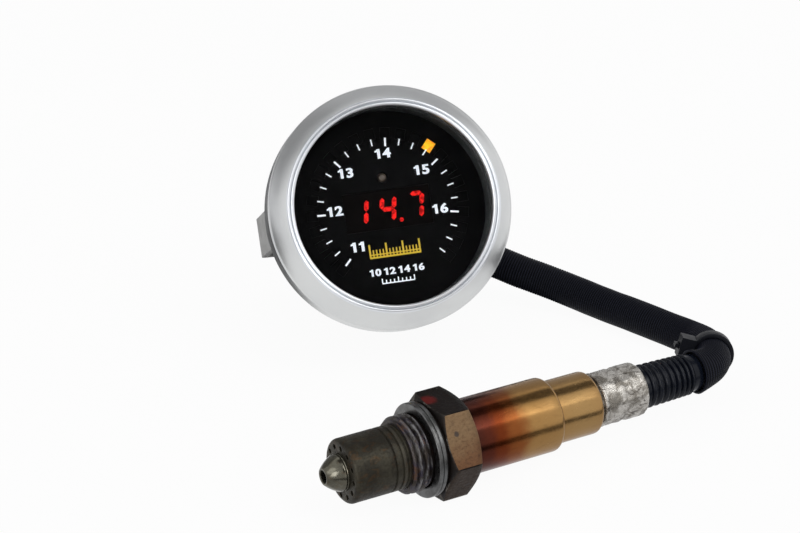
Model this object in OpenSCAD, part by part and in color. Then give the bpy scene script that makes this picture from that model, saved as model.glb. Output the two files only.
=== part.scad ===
// Panel air fuel ratio gauge with its screw-in exhaust sensor and sleeved lead.
// The sensor lies on one flat of its hexagon and the gauge leans back on the can's rear edge.

/* [Placement] */
// Pitch of the gauge's face above level, in degrees
gauge_pitch = 29; // [20:0.5:32]
// Roll of the gauge about its own axis, in degrees
gauge_roll = 3.8; // [0:0.2:6]
// Gauge's centre to the right of the origin
gauge_x = -18.6; // [-26:0.1:-12]
// Gauge's centre behind the origin
gauge_y = 13.95; // [8:0.05:22]
// Hexagon's centre to the right of the gauge's centre
sensor_dx = 0.4; // [-6:0.1:6]
// Hexagon's centre in front of the gauge's centre
sensor_dy = 65.9; // [62:0.1:75]
// Heading of the sensor's wire end, in degrees from +X
sensor_yaw = 20.2; // [12:0.2:24]

/* [Can] */
// Outer diameter of the can behind the panel
can_d = 52; // [51:0.1:52.4]
// Wall of the can
can_wall = 1.8; // [1.4:0.1:2]
// Bezel's front edge plane to the can's rear edge
can_depth = 36.6; // [36:0.1:38]
// Neck's radius beyond the can's, for the bezel's thread
neck_step = 1.2; // [1:0.1:1.4]
// Wall of the neck
neck_wall = 1.3; // [1:0.1:1.5]
// Neck's front face ahead of the bezel's edge plane
neck_front = 2.3; // [2:0.1:2.4]
// Thickness of the ledge that the dial stack sits on
ledge_t = 1.5; // [1.2:0.1:1.8]

/* [Bezel] */
// Thickness of the bezel's rim round its thread
rim_t = 2.5; // [2.2:0.1:3]
// Depth of the bezel's straight rim
rim_h = 9.3; // [9:0.1:9.8]
// Height of the lip above the rim's edge
bezel_h = 6.8; // [6.6:0.1:7.2]
// Radial width of the polished lip
lip_w = 2; // [1.8:0.1:2.2]
// Thickness of the lip over the lens
lip_t = 1.4; // [1.2:0.1:1.6]
// Height of the two beads that round the lip
bead_h = 0.45; // [0.3:0.05:0.5]
// Clearance of the bezel's thread on the neck
bezel_gap = 0.3; // [0.2:0.05:0.4]

/* [Lens stack] */
// Thickness of the lens
lens_t = 2; // [1.8:0.1:2.2]
// Clearance round the lens and under the lip
lens_gap = 0.3; // [0.2:0.05:0.35]
// Radial width of the sealing ring under the lens
seal_w = 1.3; // [1:0.1:1.4]
// Radial width of the ring between lens and dial
reveal_w = 1.5; // [1.3:0.1:1.6]
// Dial face below the bezel's edge plane
dial_depth = 4.8; // [4.6:0.1:5]
// Thickness of the dial plate
dial_t = 1; // [0.8:0.1:1.2]
// Clearance of the parts that drop into the neck
stack_gap = 0.2; // [0.15:0.05:0.3]

/* [Dial] */
// Number of lamp windows round the dial
lamp_count = 24; // [20:1:24]
// Sweep of the row of windows, in degrees
dial_sweep = 270; // [260:1:275]
// View's edge to the middle of the row of windows
lamp_inset = 5.5; // [5.2:0.1:5.8]
// Width of a window along the row
lamp_w = 2.5; // [2.3:0.1:2.6]
// Length of a window along the radius
lamp_l = 2.85; // [2.6:0.05:3]
// Window that shines, counted from 0
lit_lamp = 15; // [0:1:19]
// Diameter of the light sensor's hole
eye_d = 2.6; // [2.4:0.1:3]
// Light sensor's centre above the dial's centre
eye_y = 7.9; // [7.6:0.1:8.2]

/* [Display] */
// Height of a digit
digit_h = 7; // [6.6:0.1:7.2]
// Distance between two digits
digit_pitch = 6.95; // [6.8:0.05:7.1]
// Width of a digit between its bars' centre lines
digit_w = 3.05; // [2.8:0.05:3.2]
// Width of a bar
bar_w = 1.1; // [0.9:0.05:1.2]
// Lean of the digits, in degrees
digit_lean = 9; // [0:1:10]
// Width of the display's face
display_w = 21.6; // [21:0.1:22]
// Height of the display's face
display_l = 9.6; // [9.2:0.1:10]

/* [Electronics] */
// Thickness of the circuit boards
board_t = 1.6; // [1:0.1:1.8]
// Dial plate's back to the front board's face
board_drop = 6.8; // [6.4:0.1:7]
// Room between the rear cover and the rear board
board_room = 6.3; // [6:0.1:6.6]
// Radius of the board screws' circle
spacer_r = 14.2; // [14:0.1:14.6]
// Thickness of the rear cover
cover_t = 2; // [1.8:0.1:2.4]
// Can's bore to the cover screws' circle
boss_inset = 3; // [2.8:0.1:3.1]
// Diameter of the screws
screw_d = 2.9; // [2.4:0.1:3]

/* [Clamp] */
// Diameter of the two studs
stud_d = 4; // [3.6:0.1:4.2]
// Distance between the studs
stud_space = 32; // [31:0.2:33]
// Stud's reach behind the can's rear edge
stud_reach = 23.4; // [23:0.1:25]
// Width of the clamp strip
strip_w = 10; // [9:0.2:10.4]
// Thickness of the clamp strip
strip_t = 1.6; // [1.2:0.1:2]
// Room between the can's side and the clamp's leg
clamp_play = 0.8; // [0.6:0.1:1]
// Can's rear edge to the front of the clamp's base
clamp_back = 9.4; // [9:0.1:10]
// Bezel's rear face to the clamp's tips
panel_room = 3.1; // [3:0.1:4]
// Diameter of the knurled nuts
nut_d = 12; // [11:0.2:13]
// Height of the knurled nuts
nut_h = 7; // [6.4:0.1:7.2]
// Thickness of the washers
washer_t = 0.8; // [0.6:0.1:1]

/* [Sensor] */
// Width across the hexagon's flats
hex_af = 22; // [21.6:0.1:22.4]
// Thickness of the hexagon
hex_h = 8; // [7.6:0.1:8.4]
// Diameter of the sensor's thread
thread_d = 18; // [17.6:0.1:18.2]
// Length of the thread
thread_l = 4.8; // [4.6:0.1:5.2]
// Radial width of the seal ring
ring_w = 2.45; // [2.3:0.05:2.5]
// Thickness of the seal ring
ring_t = 2.1; // [2:0.1:2.4]
// Diameter of the perforated tube
tube_d = 14.9; // [14.6:0.1:15]
// Length of the perforated tube
tube_l = 14.4; // [14:0.1:15]
// Wall of the sensor's tubes
tube_wall = 0.6; // [0.5:0.05:0.7]
// Number of small holes round the tube's end
tube_holes = 12; // [10:1:12]
// Tube's radius beyond the nose's
nose_step = 3.15; // [2.95:0.05:3.25]
// Length of the nose ahead of the tube
nose_l = 4.6; // [4.2:0.1:5]
// Diameter of the hole in the nose
nose_hole_d = 2.6; // [2.2:0.1:2.8]
// Diameter of the large rear sleeve
sleeve_d = 17.5; // [17.2:0.1:17.8]
// Length of the large rear sleeve
sleeve_l = 24; // [23:0.2:25]
// Small rear sleeve's radius below the large one's
cap_step = 1.3; // [1.2:0.1:1.5]
// Length of the small rear sleeve
cap_l = 12.6; // [12:0.2:13]
// Crimped collar's radius below the small sleeve's
collar_step = 1.05; // [0.95:0.05:1.15]
// Length of the crimped collar
collar_l = 12.8; // [12.4:0.2:13]
// Diameter of the ribbed boot at the collar
boot_d = 10.3; // [10:0.1:10.8]
// Diameter over the boot's last rib
boot_tip_d = 9.7; // [9.5:0.1:9.9]
// Number of ribs on the boot
rib_count = 8; // [6:1:8]
// Distance between the first two ribs, which shrinks along the boot
rib_pitch = 1.78; // [1.6:0.01:1.8]

/* [Lead] */
// Diameter of the sleeved lead
lead_d = 8.6; // [8:0.1:8.8]
// Diameter of the sleeve's widened end over the boot
lead_end_d = 11; // [10.6:0.1:11.4]
// Width of the cable tie
tie_w = 3.6; // [3:0.1:4]
// Thickness of the cable tie's strap
tie_t = 1; // [0.8:0.1:1.2]

/* [Hidden] */
$fn = 96;

// A cut's overrun, and the film of air between parts that are fitted together
over = 0.5;
film = 0.05;

// Can and neck, as radii and places along the gauge's axis
can_r = can_d / 2;
can_bore_r = can_r - can_wall;
neck_r = can_r + neck_step;
neck_bore_r = neck_r - neck_wall;
ledge_z = ledge_t - rim_h;
can_rear_z = -can_depth;
gauge_z = can_r * cos(gauge_pitch) + can_depth * sin(gauge_pitch);

// Bezel
bezel_bore_r = neck_r + bezel_gap;
bezel_r = bezel_bore_r + rim_t;
view_r = neck_bore_r - stack_gap - reveal_w;
lip_r = view_r + lip_w;
rim_chamfer = 0.8;
rim_break = 0.3;
cone_crown = 0.3;
cone_steps = 8;
bead_steps = 8;
lip_base_z = bezel_h - bead_h;
lip_undercut = 0.15;

// Lens, its seal and the ring between lens and dial
lens_r = neck_bore_r - stack_gap;
seat_z = bezel_h - lip_t;
lens_top_z = seat_z - lens_gap;
lens_z = lens_top_z - lens_t;
lens_chamfer = 0.25;
ring_chamfer = 0.6;

// Dial stack
dial_z = -dial_depth;
dial_back_z = dial_z - dial_t;
lamp_r = view_r - lamp_inset;
window_recess = 0.15;
baffle_depth = 5;
cell_gap = 0.15;
foot_r = 1.8;
foot_circle_r = 13;
display_recess = 0.25;
digit_relief = 0.15;
bar_gap = 0.1;
digit_bars = ["bc", "fgbc", "abc"];
dot_r = 0.5;
dot_x = 3;
eye_x = -0.3;

// Boards and rear cover
board_z = dial_back_z - board_drop;
board_r = can_bore_r - 3 * stack_gap;
cover_inset = 0.3;
cover_z = can_rear_z + cover_inset;
cover_top_z = cover_z + cover_t;
rear_board_back_z = cover_top_z + board_room;
rear_board_z = rear_board_back_z + board_t;
board_space = board_z - board_t - rear_board_z;
cover_screw_r = can_bore_r - boss_inset;
spacer_turns = [35, 145, 215, 325];
boss_turns = [30, 150, 270];
foot_turns = [0, 90, 180, 270];
boss_r = 3.2;
boss_l = 9;
post_r = 2.6;
spacer_af = 5.5;
screw_free_d = screw_d + 6 * film;
screw_head_d = 4.8;
screw_head_h = 1.5;
screw_slot_w = 0.8;
screw_slot_share = 0.6;
board_screw_grip = 3;
cover_screw_l = 7;
lamp_size = [1.9, 1.3, 1.1];
link_size = [12.7, 5];
link_at = [0, -15];
chip_size = [8, 8, 1.4];
chip_at = [-5, -1];
driver_size = [6.6, 6.1, 2.3];
driver_at = [4.5, -6.5];
barrel_d = 6.3;
barrel_room = 4.5;
barrel_h = board_space - barrel_room;
barrel_at = [[-16, 1], [3, 6], [12, 1]];

// Power socket in the rear cover
socket_size = [15, 8.4];
socket_y = 12.8;
socket_reach = 4.2;
contact_d = 2.2;
contact_wall = 0.35;
contact_pitch = 3.6;
contact_recess = 0.8;
contact_l = 8;
contact_shares = [-1.5, -0.5, 0.5, 1.5];

// Right-angled strain relief of the lead
relief_size = [13, 12, 11];
relief_at = [-4.5, -12.2];
relief_corner = 2;
relief_neck_d = 6.4;
relief_flange_d = 8.4;
relief_flange_t = 1.4;
spout_l = 19.5;
spout_d = 9.8;
spout_wall = 0.4;
spout_rib_l = 1.6;
spout_rib_h = 0.4;
spout_ribs = 4;

// Clamp, studs and nuts
stud_head_d = 8;
stud_head_h = 2;
stud_chamfer = 0.5;
stud_free_d = stud_d + 2 * bezel_gap;
clamp_z = can_rear_z - clamp_back;
clamp_tip_z = -rim_h - panel_room;
clamp_half = can_r + clamp_play;
clamp_bend = 3;
clamp_corner = 2;
washer_d = 9;
washer_z = clamp_z - strip_t - washer_t;
nut_hub_d = 9;
nut_hub_h = 1.6;
nut_ridges = 24;
nut_ridge_h = 0.45;

// Sensor, as places along its axis from the hexagon's middle
hex_half = hex_h / 2;
hex_chamfer = 0.9;
seat_step = 0.5;
relief_depth = 0.8;
relief_groove_d = thread_d - 2 * relief_depth;
ring_bore_d = relief_groove_d + 2 * bezel_gap;
ring_d = ring_bore_d + 2 * ring_w;
seat_inset = 0.65;
seat_d = ring_d - 2 * seat_inset;
ring_play = 0.1;
ring_front_a = -hex_half - seat_step - ring_play - ring_t;
thread_rear_a = ring_front_a - bezel_gap;
thread_front_a = thread_rear_a - thread_l;
thread_chamfer = 0.7;
ring_round = 0.4;
ring_groove = 0.2;
shell_bore_d = 10.4;
shell_tail_l = 5;
tube_front_a = thread_front_a - tube_l;
tube_round = 1.1;
tube_hole_d = 1.1;
tube_hole_r = tube_d / 2 - tube_round - tube_wall;
nose_d = tube_d - 2 * nose_step;
nose_tip_a = tube_front_a - nose_l;
nose_rim_r = 2;
nose_straight = 1.2;
nose_crown = 0.45;
nose_flange_d = tube_d - 2 * (tube_wall + bezel_gap + film);
nose_flange_t = 0.8;
strip_size = [4.2, 1.3];
strip_front_a = tube_front_a + tube_wall;
packing_rear_a = 22;
strip_tail = 5;
strip_rear_a = packing_rear_a + strip_tail;
sleeve_rear_a = hex_half + sleeve_l;
sleeve_round = 1.2;
cap_d = sleeve_d - 2 * cap_step;
cap_rear_a = sleeve_rear_a + cap_l;
cap_root = 6;
cap_round = 1.2;
collar_gap = 1.3;
collar_front_a = cap_rear_a + collar_gap;
collar_root = 5;
collar_d = cap_d - 2 * collar_step;
collar_inset = 1;
collar_wall = 0.8;
collar_root_r = collar_d / 2 - collar_inset;
collar_bore_r = collar_root_r - collar_wall;
collar_rear_a = collar_front_a + collar_l;
collar_rim_l = 1;
collar_neck = 0.35;
collar_neck_l = 0.7;
crimp_share = 0.5;
crimp_l = 1;
crimp_depth = 0.4;
collar_round = 0.9;
boot_plain_l = 2.2;
boot_root = 6;
boot_neck_l = 1.95;
boot_neck_r = 4.45;
rib_depth = 0.55;
rib_shares = [0.16, 0.36, 0.72, 0.92];
rib_shrink_share = 0.07;
rib_start_a = collar_rear_a + boot_plain_l;

// Lead. Its route bends round control points whose x and y count from the gauge's centre
lead_r = lead_d / 2;
route = [
    [73, -36.5, 10.8], [74, -25.6, 9.1], [75.5, -15.5, 5.3], [72.2, -8.3, 4.1], [66.9, -2.2, 4.6],
    [62.1, 4.9, 4.4], [56.3, 11.3, 4.7], [51.1, 17.2, 5.4], [44.4, 21.7, 7.1], [35.9, 25.8, 9.4]
];
route_in = 3.08;
route_out = 7.17;
route_steps = 4;
lead_sides = 12;
flare_steps = 9;
tie_step = 10;
tie_bore_r = lead_r + bezel_gap;
tie_head = [3.6, 5.2, 4.6];
tie_head_turn = 105;
tie_slot = [2.4, 1.4, 2.8];

module turned(points) rotate_extrude() polygon(points);

module ring(outer_d, inner_d, h) difference() {
    cylinder(d = outer_d, h = h);
    translate([0, 0, -over]) cylinder(d = inner_d, h = h + 2 * over);
}

module around(turns, radius) for (turn = turns) rotate([0, 0, turn]) translate([radius, 0, 0]) children();

module slab(size) translate([-size[0] / 2, -size[1] / 2, 0]) cube(size);

module on_gauge() translate([gauge_x, gauge_y, gauge_z])
    rotate([90 - gauge_pitch, 0, 0]) rotate([0, 0, gauge_roll]) children();

module on_sensor() translate([gauge_x + sensor_dx, gauge_y - sensor_dy, hex_af / 2])
    rotate([0, 0, sensor_yaw]) rotate([0, 90, 0]) children();

// Angle of one lamp window, from the lower left round over the top
function lamp_turn(k) = 90 + dial_sweep / 2 - k * dial_sweep / (lamp_count - 1);

module at_lamps(which) for (k = which) rotate([0, 0, lamp_turn(k)]) translate([lamp_r, 0, 0]) children();

all_lamps = [for (k = [0:lamp_count - 1]) k];
dark_lamps = [for (k = all_lamps) if (k != lit_lamp) k];

// Gauge body

module gauge_can() color("#1b1c1e") on_gauge() difference() {
    union() {
        turned([
            [can_bore_r, can_rear_z], [can_r, can_rear_z], [can_r, -rim_h], [neck_r, -rim_h],
            [neck_r, neck_front], [neck_bore_r, neck_front], [neck_bore_r, ledge_z], [can_bore_r, ledge_z]
        ]);
        around(boss_turns, cover_screw_r) translate([0, 0, cover_top_z]) cylinder(r = boss_r, h = boss_l);
    }
    around(boss_turns, cover_screw_r) translate([0, 0, cover_top_z - over])
        cylinder(d = screw_d + 2 * film, h = cover_screw_l + over);
}

module rear_cover() color("#242527") on_gauge() difference() {
    union() {
        translate([0, 0, cover_z]) cylinder(r = can_bore_r - stack_gap, h = cover_t);
        around(spacer_turns, spacer_r) translate([0, 0, cover_z])
            cylinder(r = post_r, h = rear_board_back_z - cover_z);
    }
    around(spacer_turns, spacer_r) translate([0, 0, rear_board_back_z - board_screw_grip])
        cylinder(d = screw_d + 2 * film, h = board_screw_grip + over);
    translate([0, 0, cover_z - over]) {
        around(boss_turns, cover_screw_r) cylinder(d = screw_free_d, h = cover_t + 2 * over);
        around([0, 180], stud_space / 2) cylinder(d = stud_d + 2 * film, h = cover_t + 2 * over);
        translate(relief_at) cylinder(d = relief_neck_d + 2 * film, h = cover_t + 2 * over);
        translate([0, socket_y, 0])
            slab([socket_size[0] + 2 * film, socket_size[1] + 2 * film, cover_t + 2 * over]);
    }
}

module screw(shank_l) difference() {
    union() {
        cylinder(d = screw_head_d, h = screw_head_h);
        translate([0, 0, -shank_l]) cylinder(d = screw_d, h = shank_l);
    }
    for (turn = [0, 90]) rotate([0, 0, turn]) translate([0, 0, screw_head_h * (1 - screw_slot_share)])
        slab([screw_head_d * screw_slot_share, screw_slot_w, screw_head_h]);
}

module cover_screws() color("#9a9a98") on_gauge() around(boss_turns, cover_screw_r)
    translate([0, 0, cover_z]) mirror([0, 0, 1]) screw(cover_screw_l);

// Bezel and glass

// Points up the cone from the rim to the lip, bowed out by the crown
cone_points = [for (i = [0:cone_steps]) let (share = i / cone_steps, bow = cone_crown * 4 * share * (1 - share))
    [
        bezel_r - rim_break + (lip_r - bezel_r + rim_break) * share + bow,
        (lip_base_z - lip_undercut) * share + bow
    ]];

// One rounded bead of the lip, from its outer to its inner radius
function bead(outer_r, inner_r) = [for (i = [0:bead_steps]) let (turn = 180 * i / bead_steps)
    [(outer_r + inner_r) / 2 + (outer_r - inner_r) / 2 * cos(turn), lip_base_z + bead_h * sin(turn)]];

module bezel() color("#b9bab8") on_gauge() turned(concat(
    [
        [bezel_bore_r, -rim_h], [bezel_r - rim_chamfer, -rim_h], [bezel_r, rim_chamfer - rim_h],
        [bezel_r, -rim_break]
    ],
    cone_points,
    bead(lip_r - lip_undercut, (lip_r + view_r) / 2),
    bead((lip_r + view_r) / 2 - film, view_r),
    [
        [view_r, seat_z], [lens_r + lens_gap, seat_z], [lens_r + lens_gap, neck_front + lens_gap],
        [bezel_bore_r, neck_front + lens_gap]
    ]
));

module lens() color("#cfd8da", 0.3) on_gauge() turned([
    [0, lens_z], [lens_r - lens_chamfer, lens_z], [lens_r, lens_z + lens_chamfer],
    [lens_r, lens_top_z - lens_chamfer], [lens_r - lens_chamfer, lens_top_z], [0, lens_top_z]
]);

module lens_seal() color("#0e0e0f") on_gauge() translate([0, 0, neck_front + film])
    ring(2 * lens_r, 2 * (lens_r - seal_w), lens_z - neck_front - film);

module reveal_ring() color("#2a2b2d") on_gauge() turned([
    [view_r, dial_z], [neck_bore_r - stack_gap, dial_z], [neck_bore_r - stack_gap, neck_front],
    [view_r + ring_chamfer, neck_front], [view_r, neck_front - ring_chamfer]
]);

// Dial stack

module dial_plate() color("#0c0c0d") on_gauge() difference() {
    translate([0, 0, dial_back_z]) cylinder(r = neck_bore_r - stack_gap, h = dial_t);
    translate([0, 0, dial_back_z - over]) {
        at_lamps(all_lamps) slab([lamp_l, lamp_w, dial_t + 2 * over]);
        translate([eye_x, eye_y, 0]) cylinder(d = eye_d, h = dial_t + 2 * over);
        slab([display_w + 2 * film, display_l + 2 * film, dial_t + 2 * over]);
    }
}

module window_inserts(which) translate([0, 0, dial_back_z]) at_lamps(which)
    slab([lamp_l - 2 * film, lamp_w - 2 * film, dial_t - window_recess]);

module lamp_windows() color("#3c3d3f") on_gauge() window_inserts(dark_lamps);

module lit_window() color("#ffb000") on_gauge() window_inserts([lit_lamp]);

module light_baffle() color("#151516") on_gauge() difference() {
    union() {
        translate([0, 0, ledge_z]) cylinder(r = neck_bore_r - stack_gap, h = dial_back_z - ledge_z);
        translate([0, 0, dial_back_z - baffle_depth]) cylinder(r = can_bore_r - stack_gap, h = baffle_depth);
        around(foot_turns, foot_circle_r) translate([0, 0, board_z])
            cylinder(r = foot_r, h = board_drop - baffle_depth + over);
    }
    translate([0, 0, dial_back_z - baffle_depth - over]) {
        at_lamps(all_lamps) slab([lamp_l + cell_gap, lamp_w + cell_gap, baffle_depth + 2 * over]);
        translate([eye_x, eye_y, 0]) cylinder(d = eye_d, h = baffle_depth + 2 * over);
        slab([display_w + 2 * cell_gap, display_l + 2 * cell_gap, baffle_depth + 2 * over]);
    }
}

module dial_lamps() color("#e8dcae") on_gauge() translate([0, 0, board_z]) at_lamps(all_lamps) slab(lamp_size);

module display_module() color("#1a0b0b") on_gauge() translate([0, 0, board_z])
    slab([display_w, display_l, dial_z - display_recess - board_z]);

// Ends of each bar's centre line, for a digit whose centre is at zero
bar_half_w = digit_w / 2;
bar_half_h = (digit_h - bar_w) / 2;
bar_names = "abcdefg";
bar_ends = [
    [[-bar_half_w, bar_half_h], [bar_half_w, bar_half_h]], [[bar_half_w, bar_half_h], [bar_half_w, 0]],
    [[bar_half_w, 0], [bar_half_w, -bar_half_h]], [[-bar_half_w, -bar_half_h], [bar_half_w, -bar_half_h]],
    [[-bar_half_w, -bar_half_h], [-bar_half_w, 0]], [[-bar_half_w, 0], [-bar_half_w, bar_half_h]],
    [[-bar_half_w, 0], [bar_half_w, 0]]
];

function leaned(point) = [point[0] + point[1] * tan(digit_lean), point[1]];

// Outline of one bar with pointed ends
function bar_outline(from, to) = let (
    along = (to - from) / norm(to - from), side = [-along[1], along[0]] * bar_w / 2,
    start = from + along * bar_gap, stop = to - along * bar_gap, point = along * bar_w / 2
) [for (p = [start, start + point + side, stop - point + side, stop, stop - point - side, start + point - side])
    leaned(p)];

module digit(bars) for (i = [0:len(bars) - 1]) {
    ends = bar_ends[search(bars[i], bar_names)[0]];
    linear_extrude(digit_relief) polygon(bar_outline(ends[0], ends[1]));
}

module display_digits() color("#ff2a1a") on_gauge() translate([0, 0, dial_z - display_recess]) {
    for (i = [0:len(digit_bars) - 1]) translate([(i - 1) * digit_pitch, 0, 0]) digit(digit_bars[i]);
    translate([dot_x, dot_r - digit_h / 2, 0]) cylinder(r = dot_r, h = digit_relief);
}

module light_sensor() color("#4a3524") on_gauge() translate([eye_x, eye_y, board_z]) {
    cylinder(d = eye_d - 2 * cell_gap, h = dial_back_z - board_z);
    translate([0, 0, dial_back_z - board_z]) intersection() {
        sphere(d = eye_d - 2 * cell_gap);
        slab([eye_d, eye_d, dial_t]);
    }
}

// Boards

module board(top_z) difference() {
    translate([0, 0, top_z - board_t]) cylinder(r = board_r, h = board_t);
    translate([0, 0, top_z - board_t - over]) {
        around(spacer_turns, spacer_r) cylinder(d = screw_free_d, h = board_t + 2 * over);
        around(boss_turns, cover_screw_r) cylinder(r = boss_r + stack_gap, h = board_t + 2 * over);
    }
}

module front_board() color("#1f5a34") on_gauge() board(board_z);

module rear_board() color("#1f5a34") on_gauge() board(rear_board_z);

module board_spacers() color("#c2b280") on_gauge() around(spacer_turns, spacer_r) difference() {
    translate([0, 0, rear_board_z]) cylinder(d = spacer_af / cos(30), h = board_space, $fn = 6);
    translate([0, 0, rear_board_z - over]) cylinder(d = screw_free_d, h = board_space + 2 * over);
}

module board_screws() color("#a8a8a6") on_gauge() around(spacer_turns, spacer_r) translate([0, 0, board_z])
    screw(board_z - rear_board_back_z + board_screw_grip);

module board_link() color("#111111") on_gauge() translate([link_at[0], link_at[1], rear_board_z])
    slab([link_size[0], link_size[1], board_space]);

module control_chips() color("#202022") on_gauge() translate([0, 0, rear_board_z]) {
    translate(chip_at) slab(chip_size);
    translate(driver_at) slab(driver_size);
}

module capacitors() color("#2b3550") on_gauge() for (place = barrel_at)
    translate([place[0], place[1], rear_board_z]) cylinder(d = barrel_d, h = barrel_h);

// Rear connections

socket_rear_z = can_rear_z - socket_reach;

module power_socket() color("#151515") on_gauge() translate([0, socket_y, 0]) difference() {
    translate([0, 0, socket_rear_z])
        slab([socket_size[0], socket_size[1], rear_board_back_z - socket_rear_z]);
    for (share = contact_shares) translate([share * contact_pitch, 0, socket_rear_z - over])
        cylinder(d = contact_d + 2 * (contact_wall + film), h = contact_recess + contact_l + over);
}

module socket_contacts() color("#c9a24a") on_gauge() for (share = contact_shares)
    translate([share * contact_pitch, socket_y, socket_rear_z + contact_recess])
        ring(contact_d + 2 * contact_wall, contact_d, contact_l - film);

// Radius of the spout's open end
spout_tip_r = lead_r + spout_wall;

module spout() {
    cylinder(r1 = spout_d / 2, r2 = spout_tip_r, h = spout_l);
    for (i = [0:spout_ribs - 1]) translate([0, 0, spout_rib_l * (1 + 2 * i)])
        cylinder(r = spout_d / 2 + spout_rib_h * (1 - i / spout_ribs), h = spout_rib_l);
}

module relief_outline() {
    inner = [relief_size[0] - 2 * relief_corner, relief_size[1] - 2 * relief_corner];
    square([relief_size[0], inner[1]], center = true);
    square([inner[0], relief_size[1]], center = true);
    for (x = [-1, 1], y = [-1, 1]) translate([x * inner[0] / 2, y * inner[1] / 2]) circle(r = relief_corner);
}

module strain_relief() color("#0f0f10") on_gauge() translate([relief_at[0], relief_at[1], cover_z]) {
    mirror([0, 0, 1]) linear_extrude(relief_size[2]) relief_outline();
    cylinder(d = relief_neck_d, h = cover_t);
    translate([0, 0, cover_t]) cylinder(d = relief_flange_d, h = relief_flange_t);
    translate([relief_size[0] / 2 - over, 0, -relief_size[2] / 2]) rotate([0, 90, 0]) spout();
}

// Clamp

module studs() color("#b0b0ae") on_gauge() around([0, 180], stud_space / 2) turned([
    [0, can_rear_z - stud_reach], [stud_d / 2 - stud_chamfer, can_rear_z - stud_reach],
    [stud_d / 2, can_rear_z - stud_reach + stud_chamfer], [stud_d / 2, cover_top_z],
    [stud_head_d / 2, cover_top_z], [stud_head_d / 2, cover_top_z + stud_head_h],
    [0, cover_top_z + stud_head_h]
]);

// Cross-section of a channel of half-width w whose floor is at z, with rounded inner corners
module channel(w, z, bend) {
    translate([-w, z + bend]) square([2 * w, clamp_tip_z - z - bend]);
    translate([bend - w, z]) square([2 * (w - bend), clamp_tip_z - z]);
    for (side = [-1, 1]) translate([side * (w - bend), z + bend]) circle(r = bend);
}

module clamp_bracket() color("#2c2d2f") on_gauge() difference() {
    rotate([90, 0, 0]) translate([0, 0, -strip_w / 2]) linear_extrude(strip_w) difference() {
        channel(clamp_half + strip_t, clamp_z - strip_t, clamp_bend + strip_t);
        translate([0, film]) channel(clamp_half, clamp_z - film, clamp_bend);
        translate([-clamp_half, clamp_tip_z - film]) square([2 * clamp_half, over]);
    }
    around([0, 180], stud_space / 2) translate([0, 0, clamp_z - strip_t - over])
        cylinder(d = stud_free_d, h = strip_t + 2 * over);
}

module washers() color("#bdbdbb") on_gauge() around([0, 180], stud_space / 2)
    translate([0, 0, washer_z]) ring(washer_d, stud_free_d, washer_t);

// Points round a knurled edge, high and low in turn
knurl_points = [for (i = [0:2 * nut_ridges - 1]) let (turn = 180 * i / nut_ridges)
    (nut_d / 2 - (i % 2) * nut_ridge_h) * [cos(turn), sin(turn)]];

module nut() translate([0, 0, washer_z]) mirror([0, 0, 1]) difference() {
    union() {
        cylinder(d = nut_hub_d, h = nut_hub_h);
        translate([0, 0, nut_hub_h]) linear_extrude(nut_h - nut_hub_h) polygon(knurl_points);
    }
    translate([0, 0, -over]) cylinder(d = stud_free_d, h = nut_h + 2 * over);
}

module left_nut() color("#8f8a78") on_gauge() translate([-stud_space / 2, 0, 0]) nut();

module right_nut() color("#8f8a78") on_gauge() translate([stud_space / 2, 0, 0]) nut();

// Sensor

hex_corner_r = hex_af / 2 / cos(30);

module sensor_shell() color("#3a332d") on_sensor() difference() {
    union() {
        intersection() {
            rotate([0, 0, 30]) translate([0, 0, -hex_half]) cylinder(r = hex_corner_r, h = hex_h, $fn = 6);
            turned([
                [0, -hex_half], [hex_corner_r - 2 * hex_chamfer, -hex_half],
                [hex_corner_r, hex_chamfer - hex_half], [hex_corner_r, hex_half - hex_chamfer],
                [hex_corner_r - 2 * hex_chamfer, hex_half], [0, hex_half]
            ]);
        }
        translate([0, 0, -hex_half - seat_step]) cylinder(d = seat_d, h = seat_step + over);
        translate([0, 0, thread_rear_a - over])
            cylinder(d = relief_groove_d, h = over + over - hex_half - thread_rear_a);
        turned([
            [0, thread_front_a], [thread_d / 2 - thread_chamfer, thread_front_a],
            [thread_d / 2, thread_front_a + thread_chamfer], [thread_d / 2, thread_rear_a], [0, thread_rear_a]
        ]);
        translate([0, 0, hex_half - over])
            cylinder(r = sleeve_d / 2 - tube_wall - film, h = shell_tail_l + over);
    }
    translate([0, 0, thread_front_a - over])
        cylinder(d = shell_bore_d, h = hex_half + shell_tail_l - thread_front_a + 2 * over);
}

module seal_ring() color("#5c5e60") on_sensor() turned([
    [ring_bore_d / 2, ring_front_a], [ring_d / 2 - ring_round, ring_front_a],
    [ring_d / 2, ring_front_a + ring_round], [ring_d / 2, ring_front_a + ring_t / 2 - ring_groove],
    [ring_d / 2 - ring_groove, ring_front_a + ring_t / 2], [ring_d / 2, ring_front_a + ring_t / 2 + ring_groove],
    [ring_d / 2, ring_front_a + ring_t - ring_round], [ring_d / 2 - ring_round, ring_front_a + ring_t],
    [ring_bore_d / 2, ring_front_a + ring_t]
]);

// Quarter round from the side of a tube to its end face; toward is -1 for a front end, 1 for a rear end
function corner(radius, end_a, round_r, toward) = [for (i = [0:4]) let (turn = 22.5 * i)
    [radius - round_r + round_r * cos(turn), end_a + toward * round_r * (sin(turn) - 1)]];

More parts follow.
